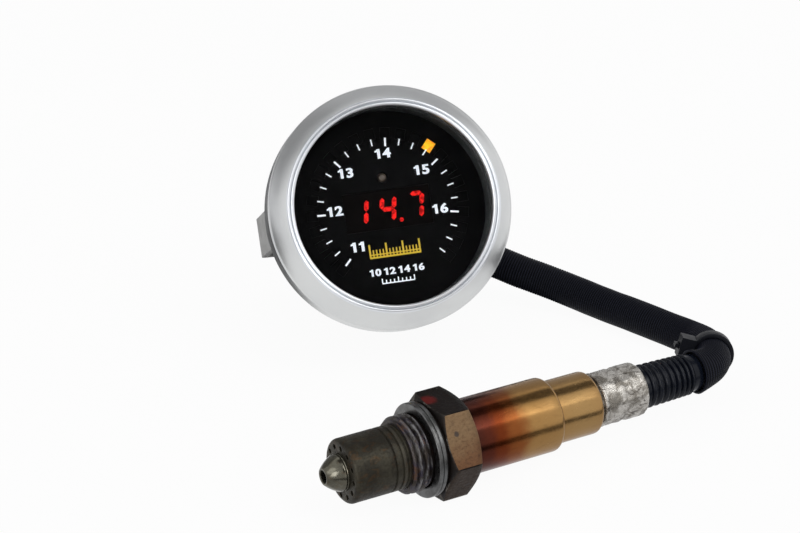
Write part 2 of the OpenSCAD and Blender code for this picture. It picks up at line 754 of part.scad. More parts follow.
module perforated_tube() color("#4d4a42") on_sensor() difference() {
    turned(concat(
        [
            [tube_d / 2 - tube_wall, thread_front_a], [tube_d / 2 - tube_wall, tube_front_a + tube_wall],
            [nose_d / 2 + film, tube_front_a + tube_wall], [nose_d / 2 + film, tube_front_a]
        ],
        [for (i = [4:-1:0]) corner(tube_d / 2, tube_front_a, tube_round, -1)[i]],
        [[tube_d / 2, thread_front_a]]
    ));
    around([for (i = [0:tube_holes - 1]) 360 * i / tube_holes], tube_hole_r)
        translate([0, 0, tube_front_a - over]) cylinder(d = tube_hole_d, h = tube_wall + 2 * over);
}

// Half profile of the nose from its straight root to the rim of its hole
nose_cone_a = tube_front_a - nose_straight;
nose_points = [for (i = [0:6]) let (share = i / 6, bow = nose_crown * 4 * share * (1 - share))
    [
        nose_d / 2 + (nose_rim_r - nose_d / 2) * share + bow,
        nose_cone_a + (nose_tip_a - nose_cone_a) * share - bow
    ]];

module nose_tube() color("#b8b49c") on_sensor() turned(concat(
    [
        [nose_d / 2 - tube_wall, thread_front_a], [nose_flange_d / 2, thread_front_a],
        [nose_flange_d / 2, thread_front_a - nose_flange_t], [nose_d / 2, thread_front_a - nose_flange_t]
    ],
    nose_points,
    [
        [nose_hole_d / 2, nose_tip_a], [nose_hole_d / 2, nose_tip_a + tube_wall],
        [nose_d / 2 - tube_wall, nose_cone_a]
    ]
));

module sensing_strip() color("#e9e7e0") on_sensor() translate([0, 0, strip_front_a])
    slab([strip_size[0], strip_size[1], strip_rear_a - strip_front_a]);

module ceramic_packing() color("#f1efe8") on_sensor() difference() {
    translate([0, 0, thread_front_a]) cylinder(d = shell_bore_d - 2 * film, h = packing_rear_a - thread_front_a);
    translate([0, 0, thread_front_a - over])
        slab([strip_size[0] + 2 * film, strip_size[1] + 2 * film, packing_rear_a - thread_front_a + 2 * over]);
}

module rear_sleeve() color("#a07a45") on_sensor() turned(concat(
    [[sleeve_d / 2 - tube_wall, hex_half], [sleeve_d / 2, hex_half]],
    corner(sleeve_d / 2, sleeve_rear_a, sleeve_round, 1),
    [[cap_d / 2 + film, sleeve_rear_a], [cap_d / 2 + film, sleeve_rear_a - tube_wall],
    [sleeve_d / 2 - tube_wall, sleeve_rear_a - sleeve_round]]
));

module sleeve_cap() color("#a07a45") on_sensor() turned(concat(
    [[cap_d / 2 - tube_wall, sleeve_rear_a - cap_root], [cap_d / 2, sleeve_rear_a - cap_root]],
    corner(cap_d / 2, cap_rear_a, cap_round, 1),
    [[collar_root_r + film, cap_rear_a], [collar_root_r + film, cap_rear_a - tube_wall],
    [cap_d / 2 - tube_wall, cap_rear_a - cap_round]]
));

crimp_a = collar_front_a + collar_l * crimp_share;

module crimp_collar() color("#c4c3bd") on_sensor() turned(concat(
    [
        [collar_bore_r, collar_front_a - collar_root], [collar_root_r, collar_front_a - collar_root],
        [collar_root_r, collar_front_a], [collar_d / 2, collar_front_a],
        [collar_d / 2, collar_front_a + collar_rim_l],
        [collar_d / 2 - collar_neck, collar_front_a + collar_rim_l + collar_neck / 2],
        [collar_d / 2 - collar_neck, collar_front_a + collar_rim_l + collar_neck_l],
        [collar_d / 2 - film, collar_front_a + collar_rim_l + collar_neck_l + collar_neck],
        [collar_d / 2 - film, crimp_a - crimp_l], [collar_d / 2 - crimp_depth, crimp_a],
        [collar_d / 2 - film, crimp_a + crimp_l]
    ],
    corner(collar_d / 2 - film, collar_rear_a, collar_round, 1),
    [[collar_bore_r, collar_rear_a]]
));

// Place of rib i along the sensor, counted from the boot's first rib
function rib_a(i) = rib_start_a + rib_pitch * (i - rib_shrink_share * i * (i - 1) / 2);

boot_rib_rear_a = rib_a(rib_count);
boot_rear_a = boot_rib_rear_a + boot_neck_l;

rib_points = [for (i = [0:rib_count - 1], j = [0:3]) let (crest = j == 1 || j == 2, share = i / (rib_count - 1))
    [
        (boot_d + (boot_tip_d - boot_d) * share) / 2 - (crest ? 0 : rib_depth),
        rib_a(i) + (rib_a(i + 1) - rib_a(i)) * rib_shares[j]
    ]];

module ribbed_boot() color("#16171a") on_sensor() turned(concat(
    [
        [0, collar_rear_a - boot_root], [collar_bore_r - film, collar_rear_a - boot_root],
        [collar_bore_r - film, collar_rear_a], [boot_d / 2, collar_rear_a], [boot_d / 2, rib_start_a]
    ],
    rib_points,
    [[boot_neck_r, boot_rib_rear_a], [boot_neck_r, boot_rear_a], [0, boot_rear_a]]
));

// Lead

function unit(v) = v / norm(v);

// A direction on the gauge, turned as the gauge is
function rolled(p) = [
    p[0] * cos(gauge_roll) - p[1] * sin(gauge_roll), p[0] * sin(gauge_roll) + p[1] * cos(gauge_roll), p[2]
];

function pitched(p) = [
    p[0], p[1] * sin(gauge_pitch) - p[2] * cos(gauge_pitch), p[1] * cos(gauge_pitch) + p[2] * sin(gauge_pitch)
];

gauge_foot = [gauge_x, gauge_y, 0];
sensor_axis = [cos(sensor_yaw), sin(sensor_yaw), 0];
spout_axis = pitched(rolled([1, 0, 0]));
lead_start = gauge_foot + [sensor_dx, -sensor_dy, hex_af / 2] + (boot_rear_a + film) * sensor_axis;
lead_stop = gauge_foot + [0, 0, gauge_z] + pitched(rolled([
    relief_at[0] + relief_size[0] / 2 - over + spout_l + film, relief_at[1], cover_z - relief_size[2] / 2
]));

controls = concat(
    [lead_start - route_in * sensor_axis, lead_start, lead_start + route_in * sensor_axis],
    [for (p = route) gauge_foot + p],
    [lead_stop + route_out * spout_axis, lead_stop, lead_stop - route_out * spout_axis]
);

// Shares of four controls in a place on the curve, and in its direction there
function place_shares(t) = [
    pow(1 - t, 3), 3 * pow(t, 3) - 6 * pow(t, 2) + 4, 3 * (t + pow(t, 2) - pow(t, 3)) + 1, pow(t, 3)
] / 6;

function slope_shares(t) = [-pow(1 - t, 2), 3 * pow(t, 2) - 4 * t, 1 + 2 * t - 3 * pow(t, 2), pow(t, 2)];

function mixed(i, shares) = shares[0] * controls[i] + shares[1] * controls[i + 1]
    + shares[2] * controls[i + 2] + shares[3] * controls[i + 3];

curve_order = 3;
route_spans = len(controls) - curve_order;
stops = concat(
    [for (i = [0:route_spans - 1], j = [0:route_steps - 1]) [i, j / route_steps]],
    [[route_spans - 1, 1]]
);
lead_places = [for (stop = stops) mixed(stop[0], place_shares(stop[1]))];
lead_slopes = [for (stop = stops) unit(mixed(stop[0], slope_shares(stop[1])))];

function sleeve_r(i) = lead_r + (lead_end_d / 2 - lead_r) * pow(max(0, 1 - i / flare_steps), 2);

lead_rings = [for (i = [0:len(stops) - 1])
    let (side = unit(cross(lead_slopes[i], [0, 0, 1])), rise = cross(side, lead_slopes[i]))
    for (j = [0:lead_sides - 1]) let (turn = 360 * j / lead_sides)
        lead_places[i] + sleeve_r(i) * (cos(turn) * side + sin(turn) * rise)];

lead_faces = concat(
    [[for (j = [lead_sides - 1:-1:0]) j]],
    [for (i = [0:len(stops) - 2], j = [0:lead_sides - 1]) let (a = i * lead_sides, next = (j + 1) % lead_sides)
        [a + j, a + next, a + lead_sides + next]],
    [for (i = [0:len(stops) - 2], j = [0:lead_sides - 1]) let (a = i * lead_sides, next = (j + 1) % lead_sides)
        [a + j, a + lead_sides + next, a + lead_sides + j]],
    [[for (j = [0:lead_sides - 1]) (len(stops) - 1) * lead_sides + j]]
);

module lead_sleeve() color("#17171b") polyhedron(lead_rings, lead_faces);

module on_lead(i) translate(lead_places[i])
    rotate([0, acos(lead_slopes[i][2]), atan2(lead_slopes[i][1], lead_slopes[i][0])]) children();

module cable_tie() color("#101012") on_lead(tie_step) {
    translate([0, 0, -tie_w / 2]) ring(2 * (tie_bore_r + tie_t), 2 * tie_bore_r, tie_w);
    rotate([0, 0, tie_head_turn]) translate([tie_bore_r + film, 0, 0]) difference() {
        translate([0, -tie_head[1] / 2, -tie_head[2] / 2]) cube(tie_head);
        translate([tie_head[0] - tie_slot[0] + over, -tie_slot[1] / 2, -tie_slot[2] / 2]) cube(tie_slot);
    }
}

gauge_can();
rear_cover();
cover_screws();
bezel();
lens();
lens_seal();
reveal_ring();
dial_plate();
lamp_windows();
lit_window();
light_baffle();
dial_lamps();
display_module();
display_digits();
light_sensor();
front_board();
rear_board();
board_spacers();
board_screws();
board_link();
control_chips();
capacitors();
power_socket();
socket_contacts();
strain_relief();
studs();
clamp_bracket();
washers();
left_nut();
right_nut();
sensor_shell();
seal_ring();
perforated_tube();
nose_tube();
sensing_strip();
ceramic_packing();
rear_sleeve();
sleeve_cap();
crimp_collar();
ribbed_boot();
lead_sleeve();
cable_tie();
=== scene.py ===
"""Dresses a panel air fuel ratio gauge, its screw-in exhaust sensor and its sleeved lead.

Sizes in the classes are millimetres in the axes of the sub-assembly that holds them.
Every mesh is made in the shared frame, in metres.
"""

import logging
import math
from dataclasses import dataclass, field, replace
from enum import Enum
from typing import Any, Callable, Iterable, Optional, Sequence

import bmesh
import bpy
from mathutils import Euler, Matrix, Vector, noise


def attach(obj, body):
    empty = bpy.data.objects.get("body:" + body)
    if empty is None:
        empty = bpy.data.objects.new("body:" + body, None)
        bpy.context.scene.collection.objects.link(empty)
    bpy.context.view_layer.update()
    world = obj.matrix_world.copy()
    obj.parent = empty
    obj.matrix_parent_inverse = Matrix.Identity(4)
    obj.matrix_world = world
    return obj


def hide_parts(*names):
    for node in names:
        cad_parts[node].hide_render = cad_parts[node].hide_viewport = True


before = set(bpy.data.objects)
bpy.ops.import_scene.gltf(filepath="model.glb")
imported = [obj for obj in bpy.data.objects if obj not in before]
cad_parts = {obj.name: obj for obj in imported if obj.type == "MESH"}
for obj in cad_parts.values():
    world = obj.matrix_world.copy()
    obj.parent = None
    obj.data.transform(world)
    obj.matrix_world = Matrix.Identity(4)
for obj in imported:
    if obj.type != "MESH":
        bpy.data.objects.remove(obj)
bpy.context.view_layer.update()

LOG = logging.getLogger("gauge")
MM = 0.001
ROOT = "gauge_and_sensor"
SQUARE = ((-1, -1), (1, -1), (1, 1), (-1, 1))
Pair = tuple[float, float]
Triple = tuple[float, float, float]
Profile = list[Pair]
Warp = Callable[[float, float, float], float]
Socket = bpy.types.NodeSocket


@dataclass(frozen=True)
class Place:
    """Axes of a sub-assembly: its origin in metres and its turn."""

    origin: Vector
    turn: Euler

    def matrix(self) -> Matrix:
        """Matrix from local millimetres to the shared frame."""
        return Matrix.Translation(self.origin) @ self.turn.to_matrix().to_4x4() @ Matrix.Scale(MM, 4)

    def point(self, x: float, y: float, z: float) -> Vector:
        """A local point in the shared frame."""
        return self.matrix() @ Vector((x, y, z))


@dataclass(frozen=True)
class Layout:
    """Where the gauge and the sensor lie, in millimetres and degrees."""

    gauge_pitch: float = 29.0
    gauge_roll: float = 3.8
    gauge_x: float = -18.6
    gauge_y: float = 13.95
    can_r: float = 26.0
    can_depth: float = 36.6
    sensor_dx: float = 0.4
    sensor_dy: float = 65.9
    sensor_yaw: float = 20.2
    hex_af: float = 22.0

    def gauge(self) -> Place:
        """Axes of the gauge, +Z toward the viewer.

        Returns:
            The gauge's place.
        """
        pitch = math.radians(self.gauge_pitch)
        height = self.can_r * math.cos(pitch) + self.can_depth * math.sin(pitch)
        roll = Matrix.Rotation(math.radians(self.gauge_roll), 3, "Z")
        turn = Matrix.Rotation(math.radians(90) - pitch, 3, "X") @ roll
        return Place(Vector((self.gauge_x, self.gauge_y, height)) * MM, turn.to_euler())

    def sensor(self) -> Place:
        """Axes of the sensor, +Z toward its wire end."""
        origin = Vector((self.gauge_x + self.sensor_dx, self.gauge_y - self.sensor_dy, self.hex_af / 2)) * MM
        return Place(origin, Euler((0.0, math.radians(90), math.radians(self.sensor_yaw))))


LAYOUT = Layout()
GAUGE = LAYOUT.gauge()
SENSOR = LAYOUT.sensor()
WORLD = Place(Vector((0, 0, 0)), Euler((0, 0, 0)))


# Meshes


TINY = 1e-6
STRAIGHT = math.radians(170)
EDGE_SHARE = 0.42


def polar(radius: float, turn: float, x: float = 0.0, y: float = 0.0) -> Pair:
    """A point at a radius from (x, y), at a turn in radians."""
    return x + radius * math.cos(turn), y + radius * math.sin(turn)


def arc(x: float, y: float, radius: float, turns: Iterable[float]) -> Profile:
    """Points on a circle about (x, y), at turns in degrees."""
    return [polar(radius, math.radians(turn), x, y) for turn in turns]


def lumps(turn: float, height: float, around: float, along: float) -> float:
    """Smooth noise on a cylinder, between minus one and one."""
    return noise.noise(Vector((*polar(around, turn), height * along)))


def rounded(points: Profile, radius: float, steps: int = 3, closed: bool = True) -> Profile:
    """Rounds the corners of an outline.

    Args:
        points: Outline as (radius, height) pairs.
        radius: Size of the rounding, cut down where an edge is short.
        steps: Segments in one rounded corner.
        closed: Whether the last point joins the first.

    Returns:
        The outline with each corner replaced by a short arc.
    """
    out: Profile = []
    for i, (x, y) in enumerate(points):
        here = Vector((x, y))
        before, after = Vector(points[i - 1]) - here, Vector(points[(i + 1) % len(points)]) - here
        end = not closed and i in (0, len(points) - 1)
        if end or min(before.length, after.length, x) < TINY or before.angle(after) > STRAIGHT:
            out.append((x, y))
            continue
        cut = min(radius, EDGE_SHARE * before.length, EDGE_SHARE * after.length)
        a, b = here + before.normalized() * cut, here + after.normalized() * cut
        for j in range(steps + 1):
            t = j / steps
            spot = a * (1 - t) ** 2 + here * 2 * t * (1 - t) + b * t**2
            out.append((spot.x, spot.y))
    return out


def refined(points: Profile, step: float, closed: bool = True) -> Profile:
    """Splits the long segments of an outline so that none is longer than step.

    Args:
        points: Outline as (radius, height) pairs.
        step: Longest segment allowed.
        closed: Whether the last point joins the first.

    Returns:
        The outline with more points.
    """
    out: Profile = []
    for (r0, h0), (r1, h1) in zip(points, points[1:] + (points[:1] if closed else [])):
        count = max(1, math.ceil(math.hypot(r1 - r0, h1 - h0) / step))
        out += [(r0 + (r1 - r0) * k / count, h0 + (h1 - h0) * k / count) for k in range(count)]
    return out if closed else out + [points[-1]]


@dataclass
class Piece:
    """Points and faces of one piece while it is being made."""

    name: str
    place: Place
    points: list[Vector] = field(default_factory=list)
    faces: list[tuple[int, ...]] = field(default_factory=list)
    marks: list[int] = field(default_factory=list)
    spans: list[Pair] = field(default_factory=list)

    def add(self, x: float, y: float, z: float, u: float = 0.0, v: float = 0.0) -> int:
        """Adds a local point and gives its number.

        Args:
            x: Local x in millimetres.
            y: Local y in millimetres.
            z: Local z in millimetres.
            u: Share of a turn, kept in the span layer.
            v: Distance along the piece, kept in the span layer.

        Returns:
            The point's number.
        """
        self.points.append(Vector((x, y, z)))
        self.spans.append((u, v))
        return len(self.points) - 1

    def face(self, corners: Iterable[int], mark: int = 0) -> None:
        """Adds a face with the number of its finish."""
        self.faces.append(tuple(corners))
        self.marks.append(mark)

    def grid(self, rows: Sequence[Sequence[int]], mark: int = 0, flip: bool = False) -> None:
        """Joins rows of points by quads.

        Args:
            rows: Point numbers, one list per row, all of one length and closed on itself.
            mark: Number of the finish.
            flip: Whether the faces look the other way.
        """
        for low, high in zip(rows, rows[1:]):
            for j in range(len(low)):
                k = (j + 1) % len(low)
                loop = (low[j], low[k], high[k], high[j])
                self.face(reversed(loop) if flip else loop, mark)

    def ring(self, radius: float, height: float, sides: int) -> list[int]:
        """Adds a ring of points about the local z axis."""
        return [self.add(*polar(radius, 2 * math.pi * j / sides), height) for j in range(sides)]

    def turned(
        self, outline: Profile, sides: int = 128, closed: bool = True, shift: Pair = (0, 0),
        warp: Optional[Warp] = None, mark_of: Optional[Callable[[float, float], int]] = None,
    ) -> None:
        """Turns an outline about the local z axis.

        Args:
            outline: (radius, height) pairs, counter-clockwise where radius is to the right.
            sides: Points round a turn.
            closed: Whether the outline closes on itself.
            shift: Where the axis stands.
            warp: Millimetres added to the radius, from radius, turn in radians and height.
            mark_of: Number of the finish, from the middle of a segment of the outline.
        """
        rows: list[list[int]] = []
        for radius, height in outline:
            if radius < TINY:
                rows.append([self.add(*shift, height)] * sides)
                continue
            rows.append([])
            for j in range(sides):
                turn = 2 * math.pi * j / sides
                reach = radius + (warp(radius, turn, height) if warp else 0.0)
                rows[-1].append(self.add(*polar(reach, turn, *shift), height, j / sides, height))
        for i, (low, high) in enumerate(zip(rows, rows[1:] + (rows[:1] if closed else []))):
            (r0, h0), (r1, h1) = outline[i], outline[(i + 1) % len(outline)]
            mark = mark_of((r0 + r1) / 2, (h0 + h1) / 2) if mark_of else 0
            for j in range(sides):
                k = (j + 1) % sides
                corners = list(dict.fromkeys((low[j], low[k], high[k], high[j])))
                if len(corners) > 2:
                    self.face(corners, mark)

    def prism(self, outline: Sequence[Pair], low: float, high: float) -> None:
        """Raises a flat convex outline, counter-clockwise, from low to high.

        Args:
            outline: Its corners.
            low: Height of its foot.
            high: Height of its top.
        """
        rows = [[self.add(x, y, z) for x, y in outline] for z in (low, high)]
        self.grid(rows)
        self.face(reversed(rows[0]))
        self.face(rows[1])

    def block(self, low: Triple, high: Triple) -> None:
        """Adds a plain block between two corners, to be softened by a bevel.

        Args:
            low: Lowest corner.
            high: Highest corner.
        """
        xs, ys, zs = zip(low, high)
        p = [self.add(x, y, z) for z in zs for y in ys for x in xs]
        for loop in ((0, 2, 3, 1), (4, 5, 7, 6), (0, 1, 5, 4), (1, 3, 7, 5), (3, 2, 6, 7), (2, 0, 4, 6)):
            self.face([p[n] for n in loop])

    def make(
        self, finishes: Sequence["Finish"], body: str = ROOT, stands_for: Sequence[str] = (),
        sharp: float = 32.0, bevel: float = 0.0,
    ) -> bpy.types.Object:
        """Makes the object and ties it to the frame.

        Args:
            finishes: Finishes in the order of their numbers.
            body: The body that the piece rides on.
            stands_for: CAD nodes that it replaces.
            sharp: Angle in degrees above which an edge stays sharp.
            bevel: Width of a rounding on sharp edges, in millimetres.

        Returns:
            The new object.
        """
        place = self.place.matrix()
        mesh = bpy.data.meshes.new(self.name)
        mesh.from_pydata([place @ p for p in self.points], [], self.faces)
        for finish in finishes:
            mesh.materials.append(finish.material())
        mesh.polygons.foreach_set("material_index", self.marks)
        layer = mesh.uv_layers.new(name="span")
        for loop in mesh.loops:
            layer.data[loop.index].uv = self.spans[loop.vertex_index]
        work = bmesh.new()
        work.from_mesh(mesh)
        bmesh.ops.recalc_face_normals(work, faces=work.faces)
        limit = math.radians(sharp)
        for edge in work.edges:
            edge.smooth = len(edge.link_faces) == 2 and edge.calc_face_angle(0.0) < limit
        for side in work.faces:
            side.smooth = True
        work.to_mesh(mesh)
        work.free()
        piece = bpy.data.objects.new(self.name, mesh)
        bpy.context.scene.collection.objects.link(piece)
        if bevel > 0:
            soften = piece.modifiers.new("edges", "BEVEL")
            soften.width, soften.segments = bevel * MM, 2
            soften.limit_method, soften.angle_limit = "ANGLE", limit
            soften.harden_normals = True
        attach(piece, body)
        for node in stands_for:
            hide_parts(node)
        LOG.info("%s: %d points, %d faces", self.name, len(self.points), len(self.faces))
        return piece


# Finishes


# Materials by name, each made once
MADE: dict[str, bpy.types.Material] = {}


class Graph:
    """Node tree of one material or world."""

    def __init__(self, name: str, world: bool = False) -> None:
        """Starts an empty tree of a material or a world, with its output and its main shader.

        Args:
            name: Name of the material or world.
            world: Whether it is a world.
        """
        self.target = (bpy.data.worlds if world else bpy.data.materials).new(name)
        self.target.use_nodes = True
        self.tree = self.target.node_tree
        self.tree.nodes.clear()
        self.end = self.put("OutputWorld" if world else "OutputMaterial", {})
        self.shader = self.put("Background" if world else "BsdfPrincipled", {})
        self.feed(self.end.inputs[0], self.shader.outputs[0])

    def feed(self, socket: Socket, value: Any) -> None:
        """Links or sets one input.

        Args:
            socket: The input.
            value: A socket to link, or a value; three numbers make a colour.
        """
        if isinstance(value, bpy.types.NodeSocket):
            self.tree.links.new(value, socket)
        elif isinstance(value, (tuple, list)) and len(value) == 3 and socket.type == "RGBA":
            socket.default_value = (*value, 1.0)
        else:
            socket.default_value = value

    def put(self, kind: str, inputs: dict[Any, Any], **settings: Any) -> bpy.types.Node:
        """Adds a node.

        Args:
            kind: Node type without its ShaderNode prefix.
            inputs: Values or sockets by input name or number.
            **settings: Properties of the node.

        Returns:
            The node.
        """
        node = self.tree.nodes.new("ShaderNode" + kind)
        for key, value in settings.items():
            setattr(node, key, value)
        for key, value in inputs.items():
            self.feed(node.inputs[key], value)
        return node

    def set(self, **values: Any) -> None:
        """Sets inputs of the main shader, with underscores for spaces."""
        for key, value in values.items():
            self.feed(self.shader.inputs[key.replace("_", " ")], value)

    def math(self, kind: str, a: Any, b: Any = 0.0, clamp: bool = False) -> Socket:
        """A math node's result."""
        return self.put("Math", {0: a, 1: b}, operation=kind, use_clamp=clamp).outputs[0]

    def times(self, a: Any, b: Any) -> Socket:
        """A product."""
        return self.math("MULTIPLY", a, b)

    def plus(self, a: Any, b: Any) -> Socket:
        """A sum."""
        return self.math("ADD", a, b)

    def seen(self) -> Socket:
        """One for rays from the camera, mirrors and glass, else zero.

        Returns:
            The share as a socket.
        """
        path = self.put("LightPath", {}).outputs
        mirrored = self.math("MAXIMUM", path["Is Glossy Ray"], path["Is Transmission Ray"])
        return self.math("MAXIMUM", path["Is Camera Ray"], mirrored)

    def local(self, place: Place) -> Socket:
        """Position in a place's own millimetres.

        Args:
            place: The place whose axes count.

        Returns:
            The position as a vector.
        """
        coord = self.put("TexCoord", {}).outputs["Object"]
        spot = self.put("Mapping", {"Vector": coord}, vector_type="TEXTURE")
        spot.inputs["Location"].default_value = place.origin
        spot.inputs["Rotation"].default_value = place.turn
        spot.inputs["Scale"].default_value = (MM, MM, MM)
        return spot.outputs[0]

    def parts(self, vector: Socket) -> tuple[Socket, Socket, Socket]:
        """The three numbers of a vector."""
        return tuple(self.put("SeparateXYZ", {0: vector}).outputs)

    def joined(self, x: Any, y: Any, z: Any) -> Socket:
        """A vector from three numbers."""
        return self.put("CombineXYZ", {0: x, 1: y, 2: z}).outputs[0]

    def stretched(self, vector: Socket, x: float, y: float, z: float) -> Socket:
        """A vector scaled on each axis."""
        return self.put("Mapping", {"Vector": vector, "Scale": (x, y, z)}).outputs[0]

    def around(self, vector: Socket) -> tuple[Socket, Socket]:
        """Radius from the local z axis, and turn about it in radians."""
        x, y, _ = self.parts(vector)
        return self.math("SQRT", self.plus(self.times(x, x), self.times(y, y))), self.math("ARCTAN2", y, x)

    def noise(
        self, vector: Socket, scale: float, detail: float = 3.0, rough: float = 0.5, warp: float = 0.0
    ) -> Socket:
        """Fractal noise about a half."""
        inputs = {"Vector": vector, "Scale": scale, "Detail": detail, "Roughness": rough, "Distortion": warp}
        return self.put("TexNoise", inputs).outputs[0]

    def cells(self, vector: Socket, scale: float) -> Socket:
        """Distance field of scattered cells."""
        return self.put("TexVoronoi", {"Vector": vector, "Scale": scale}).outputs[0]

    def ramp(self, value: Socket, *stops: tuple[float, Sequence[float]], ease: bool = False) -> Socket:
        """A colour that follows a value.

        Args:
            value: The value looked up.
            *stops: (place, colour) pairs.
            ease: Whether the colours blend smoothly.

        Returns:
            The colour socket.
        """
        node = self.put("ValToRGB", {0: value})
        band = node.color_ramp
        band.interpolation = "EASE" if ease else "LINEAR"
        while len(band.elements) < len(stops):
            band.elements.new(1.0)
        for element, (spot, colour) in zip(band.elements, stops):
            element.position, element.color = spot, (*colour, 1.0)
        return node.outputs[0]

    def steps(self, value: Socket, low: float, high: float, start: float = 0.0, stop: float = 1.0) -> Socket:
        """Maps a value's range low to high onto start to stop, and holds it there outside."""
        inputs = {0: value, 1: low, 2: high, 3: start, 4: stop}
        return self.put("MapRange", inputs, interpolation_type="SMOOTHSTEP").outputs[0]

    def mixed(self, share: Any, a: Any, b: Any, kind: str = "MIX") -> Socket:
        """Two colours mixed.

        Args:
            share: How much of b there is.
            a: First colour.
            b: Second colour.
            kind: How they blend.

        Returns:
            The colour socket.
        """
        node = self.put("Mix", {}, data_type="RGBA", blend_type=kind)
        for number, value in ((0, share), (6, a), (7, b)):
            self.feed(node.inputs[number], value)
        return node.outputs[2]

    def stained(self, base: Socket, tone: Any) -> Socket:
        """A colour times another."""
        return self.mixed(1.0, base, tone, "MULTIPLY")

    def bump(self, height: Socket, depth: float, onto: Optional[Socket] = None) -> Socket:
        """A bumped normal whose height of one is depth millimetres."""
        inputs = {"Height": height, "Distance": depth * MM, "Strength": 1.0}
        return self.put("Bump", inputs | ({"Normal": onto} if onto else {})).outputs[0]


class Grain(Enum):
    """How a surface was made."""

    MOULDED = "moulded"
    TURNED = "turned"
    ROLLED = "rolled"
    CAST = "cast"
    POLISHED = "polished"


@dataclass(frozen=True)
class Finish:
    """A plain finish with two tones, a grain and a little wear."""

    name: str
    tone: Triple
    second: Triple
    rough: Pair = (0.4, 0.6)
    metal: float = 0.0
    grain: Grain = Grain.MOULDED
    mottle: float = 0.25
    fine: float = 6.0
    depth: float = 0.01
    coat: float = 0.0
    sheen: float = 0.0
    shine_level: float = 0.5
    place: Place = GAUGE

    def material(self) -> bpy.types.Material:
        """The material, made once.

        Returns:
            The material of this finish.
        """
        if self.name not in MADE:
            g = Graph(self.name)
            self.paint(g, g.local(self.place))
            MADE[self.name] = g.target
        return MADE[self.name]

    def paint(self, g: Graph, spot: Socket) -> None:
        """Sets the main shader from a position in the place's own millimetres.

        Args:
            g: Node tree of the material.
            spot: Position in the place's own millimetres.
        """
        patch = g.steps(g.noise(spot, self.mottle, 5.0, 0.6), 0.35, 0.68)
        smudge = g.noise(spot, self.mottle * 2.3, 4.0, 0.65, 0.4)
        g.set(Base_Color=g.mixed(patch, self.tone, self.second), Metallic=self.metal)
        g.set(Roughness=g.steps(smudge, 0.3, 0.7, *self.rough), Normal=self.relief(g, spot))
        g.set(Specular_IOR_Level=self.shine_level)
        if self.coat:
            g.set(Coat_Weight=self.coat, Coat_Roughness=0.15)
        if self.sheen:
            g.set(Sheen_Weight=self.sheen, Sheen_Roughness=0.4)

    def relief(self, g: Graph, spot: Socket) -> Socket:
        """The fine surface of the grain as a normal.

        Args:
            g: Node tree of the material.
            spot: Position in the place's own millimetres.

        Returns:
            The bumped normal.
        """
        if self.grain is Grain.TURNED:
            radius, turn = g.around(spot)
            run = g.joined(radius, g.times(turn, 0.35), g.parts(spot)[2])
            return g.bump(g.noise(run, self.fine, 4.0, 0.7), self.depth)
        if self.grain is Grain.ROLLED:
            return g.bump(g.noise(g.stretched(spot, 1.0, 0.12, 1.0), self.fine, 4.0, 0.65), self.depth)
        if self.grain is Grain.CAST:
            coarse = g.bump(g.noise(spot, self.fine * 0.3, 3.0, 0.5), self.depth * 3)
            return g.bump(g.cells(spot, self.fine), self.depth, coarse)
        if self.grain is Grain.POLISHED:
            return g.bump(g.noise(spot, self.fine * 0.2, 2.0, 0.4), self.depth * 0.5)
        fine = g.bump(g.cells(spot, self.fine), self.depth)
        return g.bump(g.noise(spot, self.fine * 0.15, 2.0, 0.5), self.depth * 2, fine)


@dataclass(frozen=True)
class HeatTint(Finish):
    """Steel that the exhaust's heat has coloured along its length."""

    bands: tuple[tuple[float, Triple], ...] = ()
    start: float = 4.0
    stop: float = 42.0
    lag: float = 2.5

    def paint(self, g: Graph, spot: Socket) -> None:
        """Sets the main shader.

        Args:
            g: Node tree of the material.
            spot: Position in the place's own millimetres.
        """
        _, _, along = g.parts(spot)
        wander = g.plus(g.times(g.noise(spot, 0.16, 4.0, 0.6, 0.6), 5.0), along)
        past = g.math("SUBTRACT", wander, self.start + self.lag)
        place = g.math("DIVIDE", past, self.stop - self.start, clamp=True)
        tint = g.ramp(place, *self.bands, ease=True)
        soot = g.steps(g.noise(g.stretched(spot, 1.0, 1.0, 0.35), 0.9, 5.0, 0.7, 0.3), 0.5, 0.78, 0.0, 0.35)
        g.set(Base_Color=g.mixed(soot, tint, g.stained(tint, self.second)), Metallic=self.metal)
        smear = g.noise(g.stretched(spot, 1.0, 1.0, 0.3), 1.4, 5.0, 0.65)
        g.set(Roughness=g.steps(smear, 0.3, 0.75, *self.rough), Normal=self.relief(g, spot))


